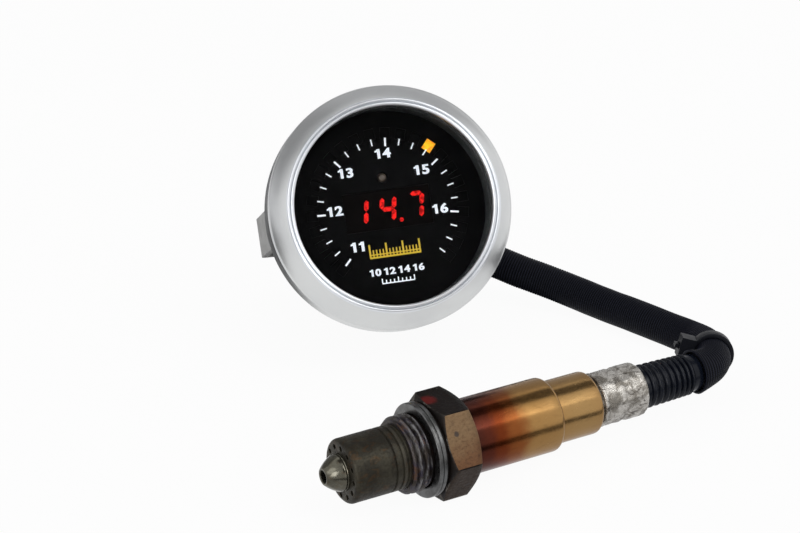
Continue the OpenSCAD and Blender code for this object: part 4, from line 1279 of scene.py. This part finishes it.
    def tie(self) -> bpy.types.Object:
        """Makes the cable tie: ribbed strap, head with its slot, and cut tail.

        Returns:
            The tie's object.
        """
        spot, way, _ = self.curve(4)[self.tie_step]
        turn = Euler((0.0, math.acos(way.z), math.atan2(way.y, way.x)))
        base = turn.to_matrix() @ Matrix.Rotation(math.radians(self.tie_turn), 3, "Z")
        piece = Piece("cable_tie_loop", Place(spot * MM, base.to_euler()))
        half, bore, outer = self.tie_w / 2, self.strap_bore, self.strap_bore + self.strap_t
        band = rounded([(bore, -half), (outer, -half), (outer, half), (bore, half)], 0.25, 3)

        def ribs(r: float, t: float, h: float) -> float:
            """Fine ribs on the outside of the strap.

            Args:
                r: Radius there.
                t: Turn in radians.
                h: Height.

            Returns:
                Millimetres added to the radius.
            """
            if r <= outer - 0.05 or abs(h) >= half - 0.5:
                return 0.0
            return -self.strap_groove * (0.5 + 0.5 * math.cos(self.strap_ribs * t))

        piece.turned(band, 96, warp=ribs)
        x0 = self.tie_bore + self.tie_gap
        x1, y, z = x0 + self.tie_head[0], self.tie_head[1] / 2, self.tie_head[2] / 2
        slot_y, slot_z, slot_d = self.tie_slot
        out, tail_y, tail_z = self.tie_tail
        levels = ((x0, y, z), (x1, y, z), (x1, slot_y, slot_z), (x1 - slot_d, slot_y, slot_z))
        rows = [[piece.add(x, a * wide, b * tall) for a, b in SQUARE] for x, wide, tall in levels]
        piece.grid(rows)
        piece.face(reversed(rows[0]))
        piece.face(rows[-1])
        piece.block((x1 - slot_d, -tail_y, -tail_z), (x1 + out, tail_y, tail_z))
        return piece.make([TIE_NYLON], stands_for=["cable_tie"], bevel=0.22)

    def build(self) -> None:
        sleeve, tie = self.sleeve(), self.tie()
        path = [tuple(p * MM) for p, _, _, _ in self.evenly(1.0)]


# Gauge


@dataclass
class BezelRing:
    """Turned aluminium bezel: straight rim, satin cone and bright double lip."""

    bore_r: float = 27.5
    rim_r: float = 30.0
    rim_h: float = 9.3
    lip_r: float = 26.2
    view_r: float = 24.2
    lip_z: float = 6.35
    bead_h: float = 0.45
    crown: float = 0.3
    seat_z: float = 5.4
    seat_r: float = 26.0
    step_z: float = 2.6
    chamfer: float = 0.8
    shoulder: float = 0.3
    cone_steps: int = 12
    bead_steps: int = 10

    def outline(self) -> Profile:
        """Half section of the ring.

        Returns:
            The outline as (radius, height) pairs.
        """
        foot, c = -self.rim_h, self.chamfer
        points: Profile = [(self.bore_r, foot), (self.rim_r - c, foot), (self.rim_r, c + foot)]
        points.append((self.rim_r, -self.shoulder))
        out = rounded(points, 0.15, 2, closed=False)
        start = self.rim_r - self.shoulder
        for i in range(self.cone_steps + 1):
            t = i / self.cone_steps
            bow = self.crown * 4 * t * (1 - t)
            out.append((start + (self.lip_r - start) * t + bow, (self.lip_z - 0.15) * t + bow))
        middle = (self.lip_r + self.view_r) / 2
        for outer, inner in ((self.lip_r - 0.15, middle), (middle - 0.05, self.view_r)):
            for i in range(self.bead_steps + 1):
                across, rise = polar(1.0, math.pi * i / self.bead_steps)
                out.append(
                    ((outer + inner) / 2 + (outer - inner) / 2 * across, self.lip_z + self.bead_h * rise)
                )
        out += [(self.view_r, self.seat_z), (self.seat_r, self.seat_z)]
        return out + [(self.seat_r, self.step_z), (self.bore_r, self.step_z)]

    def bright(self, radius: float, height: float) -> int:
        """One on the polished lip, else zero."""
        return int(radius < self.lip_r + 0.05 and height > self.lip_z - 0.2)

    def build(self) -> None:
        """Makes the ring."""
        piece = Piece("turned_bezel", GAUGE)
        piece.turned(self.outline(), 256, mark_of=self.bright)
        piece.make([BEZEL_SATIN, LIP_BRIGHT], "bezel_ring", ["bezel"], sharp=28)


@dataclass
class LensCell:
    """Clear lens and the seal under it."""

    radius: float = 25.7
    low: float = 3.1
    high: float = 5.1
    chamfer: float = 0.25

    def build(self) -> None:
        """Makes the lens and dresses the seal."""
        r, c, low, high = self.radius, self.chamfer, self.low, self.high
        piece = Piece("clear_lens", GAUGE)
        outline = [(0, low), (r - c, low), (r, low + c), (r, high - c), (r - c, high), (0, high)]
        piece.turned(outline, 160, closed=False)
        piece.make([LENS_CLEAR], "lens_cell", ["lens"], sharp=20)
        dress({"lens_seal": SEAL_RUBBER})


@dataclass(frozen=True)
class Ruler:
    """A plain printed ruler: base lines, and upright ticks above them.

    Each line has a height on the dial and a width; heavy and light ticks have a length and a width.
    """

    lines: tuple[Pair, ...]
    middle: float
    long: float
    start: Pair
    step: float
    count: int
    every: int
    heavy: Pair
    light: Pair


@dataclass
class Dial:
    """Black dial with its printed marks, numerals and lamp windows; the print has a painted glow."""

    face_z: float = -4.8
    ink_t: float = 0.03
    sweep: float = 270.0
    count: int = 24
    mark_r: float = 16.75
    minor: Pair = (1.65, 0.34)
    major: Pair = (2.1, 0.46)
    major_every: int = 4
    numeral_h: float = 2.4
    numeral_wide: float = 1.2
    small_h: float = 1.75
    bold: float = 0.03
    bold_step: Pair = (0.06, 0.05)
    stem: Pair = (0.2, 0.7)
    flag: tuple[Pair, ...] = (
        (0.02, 0.0), (0.0, 0.0), (-0.05, -0.085), (-0.15, -0.125), (-0.15, -0.235), (0.02, -0.235)
    )
    numerals: tuple[tuple[str, float, float], ...] = (
        ("11", -8.85, -8.28), ("12", -13.07, 1.14), ("13", -9.13, 10.06), ("14", 0.72, 13.75),
        ("15", 9.67, 8.49), ("16", 12.86, -1.59),
    )
    small_numerals: tuple[tuple[str, float, float], ...] = (
        ("10", -5.4, -15.1), ("12", -1.8, -15.1), ("14", 1.8, -15.1), ("16", 5.4, -15.1),
    )
    white_ruler: Ruler = Ruler(
        lines=((-18.0, 0.28),), middle=0.0, long=8.2, start=(-4.0, -17.9), step=1.0, count=9, every=4,
        heavy=(1.15, 0.28), light=(0.75, 0.28)
    )
    yellow_ruler: Ruler = Ruler(
        lines=((-11.45, 0.42), (-10.75, 0.28)), middle=0.2, long=12.7, start=(-6.0, -11.45),
        step=12.4 / 15, count=16, every=5, heavy=(3.3, 0.42), light=(1.9, 0.3)
    )

    def bar(self, piece: Piece, x: float, y: float, turn: float, long: float, wide: float) -> None:
        """Adds one printed bar, its length along turn in degrees.

        Args:
            piece: The piece that takes the faces.
            x: Middle across.
            y: Middle upward.
            turn: Direction of its length in degrees.
            long: Its length.
            wide: Its width.
        """
        c, s = math.cos(math.radians(turn)), math.sin(math.radians(turn))
        ends = [(a * long / 2, b * wide / 2) for a, b in SQUARE]
        corners = [(x + a * c - b * s, y + a * s + b * c) for a, b in ends]
        piece.prism(corners, self.face_z, self.face_z + self.ink_t)

    def marks(self) -> None:
        """Prints the scale's marks."""
        piece = Piece("dial_marks", GAUGE)
        for k in range(self.count):
            turn = 90 + self.sweep / 2 - k * self.sweep / (self.count - 1)
            long, wide = self.minor if k % self.major_every else self.major
            radius = self.mark_r - (long - self.minor[0]) / 2
            self.bar(piece, *polar(radius, math.radians(turn)), turn, long, wide)
        piece.make([WHITE_INK_PAINTED_GLOW], sharp=30)

    def text(self, piece: Piece, word: str, x: float, y: float, tall: float) -> None:
        """Adds the shape of a number, centred at a point of the dial, with a flag on each 1.

        Args:
            piece: The piece that takes the faces.
            word: The number.
            x: Middle across.
            y: Middle upward.
            tall: Height of the figures.
        """
        curve = bpy.data.curves.new("number", "FONT")
        curve.body, curve.size, curve.offset = word, 1.0, self.bold
        curve.align_x, curve.align_y, curve.space_character = "CENTER", "CENTER", 1.05
        shape = bpy.data.objects.new("number", curve)
        bpy.context.scene.collection.objects.link(shape)
        bpy.context.view_layer.update()
        mesh = bpy.data.meshes.new_from_object(shape.evaluated_get(bpy.context.evaluated_depsgraph_get()))
        flags: dict[float, list[Pair]] = {}
        for side in mesh.polygons:
            across = [mesh.vertices[n].co.x for n in side.vertices]
            upward = [mesh.vertices[n].co.y for n in side.vertices]
            if max(across) - min(across) < self.stem[0] and max(upward) - min(upward) > self.stem[1]:
                left, top = min(across), max(upward)
                flags[round(left, 2)] = [(left + dx, top + dy) for dx, dy in self.flag]
        xs = [v.co.x for v in mesh.vertices] + [point[0] for flag in flags.values() for point in flag]
        ys = [v.co.y for v in mesh.vertices]
        scale = tall / (max(ys) - min(ys))
        cx, cy = (max(xs) + min(xs)) / 2, (max(ys) + min(ys)) / 2

        def printed(px: float, py: float) -> int:
            """Adds a point of the shape to the dial."""
            across, upward = (px - cx) * scale * self.numeral_wide, (py - cy) * scale
            return piece.add(x + across, y + upward, self.face_z + self.ink_t)

        numbers = [printed(v.co.x, v.co.y) for v in mesh.vertices]
        for side in mesh.polygons:
            piece.face([numbers[n] for n in side.vertices])
        for flag in flags.values():
            piece.face([printed(*point) for point in flag])
        bpy.data.objects.remove(shape)
        bpy.data.meshes.remove(mesh)
        bpy.data.curves.remove(curve)

    def print(self) -> None:
        """Prints the numerals, and the plain ruler and numbers below the display."""
        piece = Piece("dial_numerals", GAUGE)
        sizes = (self.numeral_h, self.small_h)
        for words, tall, shift in zip((self.numerals, self.small_numerals), sizes, self.bold_step):
            for word, x, y in words:
                for across in (-shift, shift):
                    self.text(piece, word, x + across, y, tall)
        self.ruler(piece, self.white_ruler)
        piece.make([WHITE_INK_PAINTED_GLOW], sharp=30)
        piece = Piece("dial_ruler", GAUGE)
        self.ruler(piece, self.yellow_ruler)
        piece.make([YELLOW_INK_PAINTED_GLOW], sharp=30)

    def ruler(self, piece: Piece, ruler: Ruler) -> None:
        """Adds the lines and ticks of a ruler.

        Args:
            piece: The piece that takes the faces.
            ruler: The ruler's sizes.
        """
        for y, wide in ruler.lines:
            self.bar(piece, ruler.middle, y, 0.0, ruler.long, wide)
        x, foot = ruler.start
        for k in range(ruler.count):
            tall, wide = ruler.light if k % ruler.every else ruler.heavy
            self.bar(piece, x + k * ruler.step, foot + tall / 2, 90.0, tall, wide)

    def build(self) -> None:
        """Dresses the dial stack and prints it."""
        dress({
            "dial_plate": DIAL_BLACK, "reveal_ring": REVEAL_GREY, "lamp_windows": WINDOW_SMOKE,
            "lit_window": AMBER_GLOW, "display_digits": RED_GLOW, "display_module": DISPLAY_DARK,
            "light_sensor": SENSOR_EYE,
        })
        self.marks()
        self.print()


# Sensor


@dataclass
class Sensor:
    """Screw-in exhaust sensor, from its nose to its ribbed boot.

    Heights run along its axis from the hexagon's middle.
    """

    hex_flat: float = 11.0
    hex_half: float = 4.0
    corner_round: float = 0.5
    chamfer: float = 0.5
    seat_r: float = 10.3
    groove_r: float = 8.2
    thread_r: float = 9.0
    thread_root: float = 8.1
    thread_rear: float = -7.0
    thread_front: float = -11.8
    pitch: float = 1.5
    tail_r: float = 8.1
    bore_r: float = 5.2
    tube_r: float = 7.45
    tube_front: float = -25.7
    hole_r: float = 0.55
    hole_circle: float = 5.75
    holes: int = 12
    tube_wall: float = 0.6
    tube_bend: float = 1.1
    tube_dent: float = 0.03
    hole_depth: float = 1.4
    hole_chamfer: float = 0.08
    grooves: Triple = (-15.6, -13.9, -12.6)
    sleeve_wall: float = 0.6
    sleeve_bend: float = 1.2
    sleeve_dent: float = 0.02
    crimp_r: float = 5.9
    crimp_front: float = 42.2
    jaws: int = 8
    waist: float = 46.9
    jaw_dent: float = 0.14
    dent: float = 0.13
    facets: dict[int, int] = field(default_factory=lambda: {4: 2, 5: 3, 3: 4, 0: 3, 1: 3, 2: 4})

    def hexagon(self) -> list[Pair]:
        """Outline of the hexagon with eased corners: turn in radians and radius of each point.

        Returns:
            (turn, radius) pairs.
        """
        out: list[Pair] = []
        reach = (self.hex_flat - self.corner_round) / math.cos(math.radians(30))
        for k in range(6):
            corner = math.radians(60 * k + 30)
            centre = Vector(polar(reach, corner))
            for j in range(-3, 4):
                way = corner + math.radians(10 * j)
                spot = centre + Vector(polar(1.0, way)) * self.corner_round
                out.append((math.atan2(spot.y, spot.x), spot.length))
            middle = corner + math.radians(30)
            for j in range(-5, 6):
                way = middle + math.radians(5.0 * j)
                out.append((way, self.hex_flat / math.cos(way - middle)))
        return out

    def faceted(self, piece: Piece) -> None:
        """Adds the chamfered hexagon, the seat behind the seal ring and its groove.

        Each ring has a cap on its radius, an inset, a height and a share of the facets' height.

        Args:
            piece: The piece that takes the faces.
        """
        outline = self.hexagon()
        top_r, half, free, flat_turn, facet_rows = 10.9, self.hex_half, math.inf, 29.2, range(3, 10)
        shares = (1, 0.66, 0.33, 0.0, -0.33, -0.66, -1)
        rings = [
            (self.tail_r, 0.0, half, 0), (top_r, 0.25, half, 0), (top_r, 0.02, half - 0.03, 0),
            (free, 0.12, 0.02, 1), *((free, 0.0, -0.14 * share, share) for share in shares),
            (free, 0.12, -0.02, -1), (top_r, 0.02, 0.03 - half, 0), (self.seat_r, 0.0, -half, 0),
            (self.seat_r, 0.0, -half - 0.4, 0), (self.seat_r, 0.1, -half - 0.5, 0),
            (self.groove_r, 0.0, -half - 0.5, 0), (self.groove_r, 0.0, self.thread_rear, 0),
        ]
        rows: list[list[int]] = []
        for cap, inset, lift, share in rings:
            rows.append([])
            for t, r in outline:
                height = lift + share * (half - self.chamfer * max(0.0, r - top_r))
                spot = polar(min(r, cap) - inset, t)
                rows[-1].append(piece.add(*spot, height, t / (2 * math.pi), height))
        for i, (low, high) in enumerate(zip(rows, rows[1:])):
            for j in range(len(outline)):
                k = (j + 1) % len(outline)
                middle = piece.points[rows[4][j]] + piece.points[rows[4][k]]
                way = math.degrees(math.atan2(middle.y, middle.x)) % 360
                flat = abs((way + 30) % 60 - 30) < flat_turn and i in facet_rows
                facet = self.facets[round(way / 60) % 6] if flat else 0
                piece.face((high[j], high[k], low[k], low[j]), facet)

    def thread(self, piece: Piece) -> None:
        """Adds the thread, uneven with paste, and the rings that close its ends.

        Args:
            piece: The piece that takes the faces.
        """
        sides, step, crest, slope, run_out, uneven, worn = 144, 0.1, 1.35, 3.4, 0.7, 0.07, 0.05
        steps = round((self.thread_rear - self.thread_front) / step)
        rows: list[list[int]] = []
        for i in range(steps + 1):
            height = self.thread_rear - i * step
            rows.append([])
            for j in range(sides):
                phase = (height / self.pitch - j / sides) % 1.0
                ridge = min(1.0, max(0.0, crest - abs(phase - 0.5) * slope))
                radius = self.thread_root + (self.thread_r - self.thread_root) * ridge
                end = min(height - self.thread_front, self.thread_rear - height)
                radius = min(radius, self.thread_r - max(0.0, run_out - end))
                turn = 2 * math.pi * j / sides
                radius += uneven * lumps(turn, height, 2.2, 0.8) - worn
                rows[-1].append(piece.add(*polar(radius, turn), height, j / sides, height))
        piece.grid(rows, mark=1, flip=True)
        piece.grid([rows[-1], piece.ring(self.tube_r + 0.02, self.thread_front, sides)], mark=1, flip=True)
        piece.grid([piece.ring(self.groove_r - 0.05, self.thread_rear, sides), rows[0]], mark=1, flip=True)

    def shell(self) -> None:
        """Makes the hexagon with its thread and the tail that the sleeves sit on."""
        piece = Piece("hexagon_and_thread", SENSOR)
        self.faceted(piece)
        self.thread(piece)
        low, high = self.hex_half, 9.0
        tail = [(self.tail_r, low), (self.tail_r, high), (self.bore_r, high), (self.bore_r, low)]
        piece.turned(rounded(tail, 0.2, 2), 96)
        facets = [HEX_BURNT, THREAD_PASTE, HEX_TANNED, HEX_BROWN, HEX_DARK]
        piece.make(facets, stands_for=["sensor_shell"], sharp=40)

    def ring(self) -> None:
        """Makes the folded seal ring."""
        front, rear, bore, outer, fold = -6.7, -4.6, 8.5, 10.95, 0.16
        middle = (front + rear) / 2
        outline = [
            (bore, front), (outer, front), (outer, middle - fold), (10.6, middle), (outer, middle + fold),
            (outer, rear), (bore, rear),
        ]
        piece = Piece("folded_seal_ring", SENSOR)
        piece.turned(rounded(outline, 0.42, 5), 160)
        piece.make([RING_STEEL], "gasket", ["seal_ring"], sharp=40)

    def tube(self) -> None:
        """Makes the tube with its ring of holes and its worn grooves."""
        piece = Piece("perforated_cap", SENSOR)
        front, wall, bend = self.tube_front, self.tube_wall, self.tube_bend
        out = arc(self.tube_r - bend, front + bend, bend, [90 * i / 8 - 90 for i in range(9)])
        for groove in self.grooves:
            out += [
                (self.tube_r, groove - 0.34), (self.tube_r - 0.3, groove - 0.14),
                (self.tube_r - 0.32, groove + 0.14), (self.tube_r, groove + 0.34),
            ]
        out += [(self.tube_r, self.thread_front)]

        def worn(r: float, t: float, h: float) -> float:
            """Slight unevenness of the tube."""
            return self.tube_dent * lumps(t, h, 4, 0.5)

        piece.turned(refined(out, 0.8, closed=False), 160, closed=False, warp=worn)
        side = self.tube_r - wall
        piece.turned([(side, self.thread_front), (side, front + wall)], 96, closed=False)
        inner_r, outer_r, hole, rim_r = 4.35, self.tube_r - bend, self.hole_r, self.hole_r + self.hole_chamfer
        spots = [polar(self.hole_circle, 2 * math.pi * k / self.holes) for k in range(self.holes)]
        span = math.pi / self.holes
        for k, (x, y) in enumerate(spots):
            middle = 2 * span * k
            turns = [middle - span + 2 * span * j / 8 for j in range(9)]
            border = [polar(outer_r, t) for t in turns] + [polar(r, turns[-1]) for r in (5.8, 5.2)]
            border += [polar(inner_r, t) for t in reversed(turns)] + [polar(r, turns[0]) for r in (5.2, 5.8)]
            rim = []
            for px, py in border:
                reach = rim_r / math.hypot(px - x, py - y)
                rim.append((x + (px - x) * reach, y + (py - y) * reach))
            piece.grid([[piece.add(*p, front) for p in line] for line in (border, rim)])
        floor = front + self.hole_depth
        well = [(rim_r, front), (hole, front + self.hole_chamfer), (hole, floor), (0.0, floor)]
        for spot in spots:
            piece.turned(well, 20, closed=False, shift=spot)
        piece.turned([(inner_r, front), (inner_r, front + wall)], 96, closed=False)
        piece.make([TUBE_STEEL], stands_for=["perforated_tube"], sharp=38)

    def nose(self) -> None:
        """Makes the rounded cone with its gas hole."""
        front, tip = -26.7, -30.1
        wide, narrow, bulge, foot = 4.3, 2.0, 0.16, self.thread_front
        out: Profile = [
            (3.7, foot), (6.5, foot), (6.5, foot - 0.8), (wide, foot - 0.8), (wide, -26.0), (4.22, -26.1),
            (4.22, -26.3), (wide, -26.4),
        ]
        for i in range(11):
            t = i / 10
            bow = bulge * 4 * t * (1 - t)
            out.append((wide + (narrow - wide) * t + bow, front + (tip - front) * t - bow))
        out += [
            (1.8, tip - 0.06), (1.55, tip), (1.45, tip + 0.15), (1.45, tip + 0.6), (1.6, tip + 0.9),
            (3.4, front + 0.3),
        ]
        piece = Piece("cone_nose", SENSOR)
        piece.turned(out, 128)
        piece.make([NOSE_STEEL], stands_for=["nose_tube"], sharp=38)

    def sleeve(
        self, name: str, r: float, front: float, rear: float, end_r: float, slot: str, node: str
    ) -> None:
        """Makes one heat-tinted sleeve.

        Args:
            name: Name of the piece.
            r: Outer radius.
            front: Height of its front.
            rear: Height of its rear.
            end_r: Radius of the opening in its rear.
            slot: Not used.
            node: CAD node that it replaces.
        """
        wall, bend = self.sleeve_wall, self.sleeve_bend
        outline = [(r - wall, front), (r, front), *arc(r - bend, rear - bend, bend, range(0, 91, 10))]
        outline += [(end_r, rear), (end_r, rear - wall), (r - wall, rear - 2 * wall)]

        def dent(radius: float, t: float, h: float) -> float:
            """Slight unevenness of the sleeve."""
            return self.sleeve_dent * lumps(t, h, 3, 0.12)

        piece = Piece(name, SENSOR)
        piece.turned(refined(outline, 1.5), 160, warp=dent)
        piece.make([SLEEVE_TINT], stands_for=[node], sharp=38)

    def collar(self) -> None:
        """Makes the crimped collar with its rolled rim and tool marks."""
        out: Profile = [
            (4.6, 36.9), (5.4, 36.9), (5.4, 40.5), (6.2, 40.5), (6.42, 40.7), (6.42, 41.25), (6.3, 41.45),
            (6.08, 41.6), (6.06, 41.95), (6.32, 42.4), (6.35, 45.9), (6.02, 46.7), (6.02, 47.1),
            (6.35, 47.9), (6.35, 52.0)
        ]
        out += [*arc(5.45, 52.0, 0.9, range(15, 91, 15)), (4.6, 52.9)]

        def worked(r: float, t: float, h: float) -> float:
            """Dents of the crimping tool and rolled unevenness.

            Args:
                r: Radius there.
                t: Turn in radians.
                h: Height.

            Returns:
                Millimetres added to the radius.
            """
            if r < self.crimp_r or h < self.crimp_front:
                return 0.0
            jaw = math.cos(self.jaws * t) ** 2
            waist = math.exp(-((h - self.waist) ** 2) / 0.7)
            return self.jaw_dent * waist * (1 - jaw) + self.dent * lumps(t, h, 6, 0.8)

        piece = Piece("crimped_collar", SENSOR)
        piece.turned(refined(out, 0.5), 180, warp=worked)
        piece.make([COLLAR_STEEL], stands_for=["crimp_collar"], sharp=42)

    def boot(self) -> None:
        """Makes the ribbed rubber boot."""
        start, pitch, shrink, count, first, last = 54.3, 1.95, 0.05, 8, 5.15, 4.85
        steps, lean, fullness, groove = 12, 0.04, 0.6, 0.95
        ends = [start + pitch * (i - shrink * i * (i - 1) / 2) for i in range(count + 1)]
        out: Profile = [(0, 48.7), (4.55, 48.7), (4.55, 52.9), (5.0, 52.92)]
        out += [(first, 53.1), (first, start - 0.1)]
        for i, (low, high) in enumerate(zip(ends, ends[1:])):
            crest = first + (last - first) * i / (count - 1)
            for j in range(steps):
                t = j / steps
                swell = max(0.0, 0.5 - 0.5 * math.cos(2 * math.pi * (t - lean))) ** fullness
                out.append((crest + 0.1 - groove * (1 - swell), low + (high - low) * t))
        out += [(4.45, ends[-1]), (4.45, 69.4), (4.3, 69.6), (0, 69.6)]
        piece = Piece("ribbed_boot_cover", SENSOR)
        piece.turned(out, 128, closed=False)
        piece.make([BOOT_RUBBER], stands_for=["ribbed_boot"], sharp=55)

    def build(self) -> None:
        """Makes every piece of the sensor."""
        self.nose()
        self.tube()
        self.shell()
        self.ring()
        self.sleeve("large_sleeve", 8.75, 4.0, 28.0, 7.5, "sleeve_steel", "rear_sleeve")
        self.sleeve("small_sleeve", 7.45, 22.0, 39.6, 5.45, "cap_steel", "sleeve_cap")
        self.collar()
        self.boot()
        dress({"ceramic_packing": CERAMIC, "sensing_strip": CERAMIC})


@dataclass
class Case:
    """Can, rear cover, what is screwed or plugged into them, and the works inside."""

    finishes: dict[str, Finish] = field(default_factory=lambda: {
        "gauge_can": CAN_BLACK, "rear_cover": COVER_BLACK, "cover_screws": ZINC, "power_socket": SOCKET_BLACK,
        "socket_contacts": CONTACT_GOLD, "strain_relief": RELIEF_RUBBER, "studs": STUD_STEEL,
        "clamp_bracket": CLAMP_ZINC, "washers": WASHER_STEEL, "light_baffle": BAFFLE_PLASTIC,
        "dial_lamps": LAMP_RESIN, "front_board": BOARD_GREEN, "rear_board": BOARD_GREEN,
        "board_spacers": BRASS, "board_screws": ZINC, "board_link": LINK_PLASTIC, "control_chips": CHIP_RESIN,
        "capacitors": CAPACITOR,
    })
    nut_x: float = 16.0
    nut_bore: float = 2.3
    hub_r: float = 4.5
    grip_r: float = 6.0
    ridges: int = 24
    ridge: float = 0.45
    nut_front: float = -48.43
    hub_rear: float = -50.0
    nut_rear: float = -55.4

    def nut(self, side: str, where: float) -> None:
        """Makes a knurled nut a hair behind its washer.

        Args:
            side: Left or right.
            where: Its place across.
        """
        bore, hub, grip = self.nut_bore, self.hub_r, self.grip_r
        front, step, rear = self.nut_front, self.hub_rear, self.nut_rear
        body: Profile = [(bore, front), (hub, front), (hub, step), (grip, step), (grip, rear), (bore, rear)]

        def knurl(r: float, t: float, h: float) -> float:
            """Ridges round the grip."""
            return -self.ridge * (0.5 - 0.5 * math.cos(self.ridges * t)) ** 0.7 if r > grip - 0.2 else 0.0

        piece = Piece(side + "_knurled_nut", GAUGE)
        piece.turned(refined(rounded(body, 0.35, 3), 0.8), 192, warp=knurl, shift=(where, 0))
        piece.make([NUT_BRASS], "nut_" + side, [side + "_nut"], sharp=36)

    def build(self) -> None:
        """Dresses the case's nodes and makes the nuts."""
        dress(self.finishes)
        self.nut("left", -self.nut_x)
        self.nut("right", self.nut_x)


def main() -> None:
    """Builds the scene in order, camera and lead first."""
    logging.basicConfig(level=logging.INFO, format="%(name)s %(message)s")
    bpy.context.scene.view_settings.view_transform = "Standard"
    for part in (Studio(), Lead(), BezelRing(), LensCell(), Dial(), Sensor(), Case()):
        part.build()
        LOG.info("done: %s", type(part).__name__)


if __name__ == "__main__":
    main()
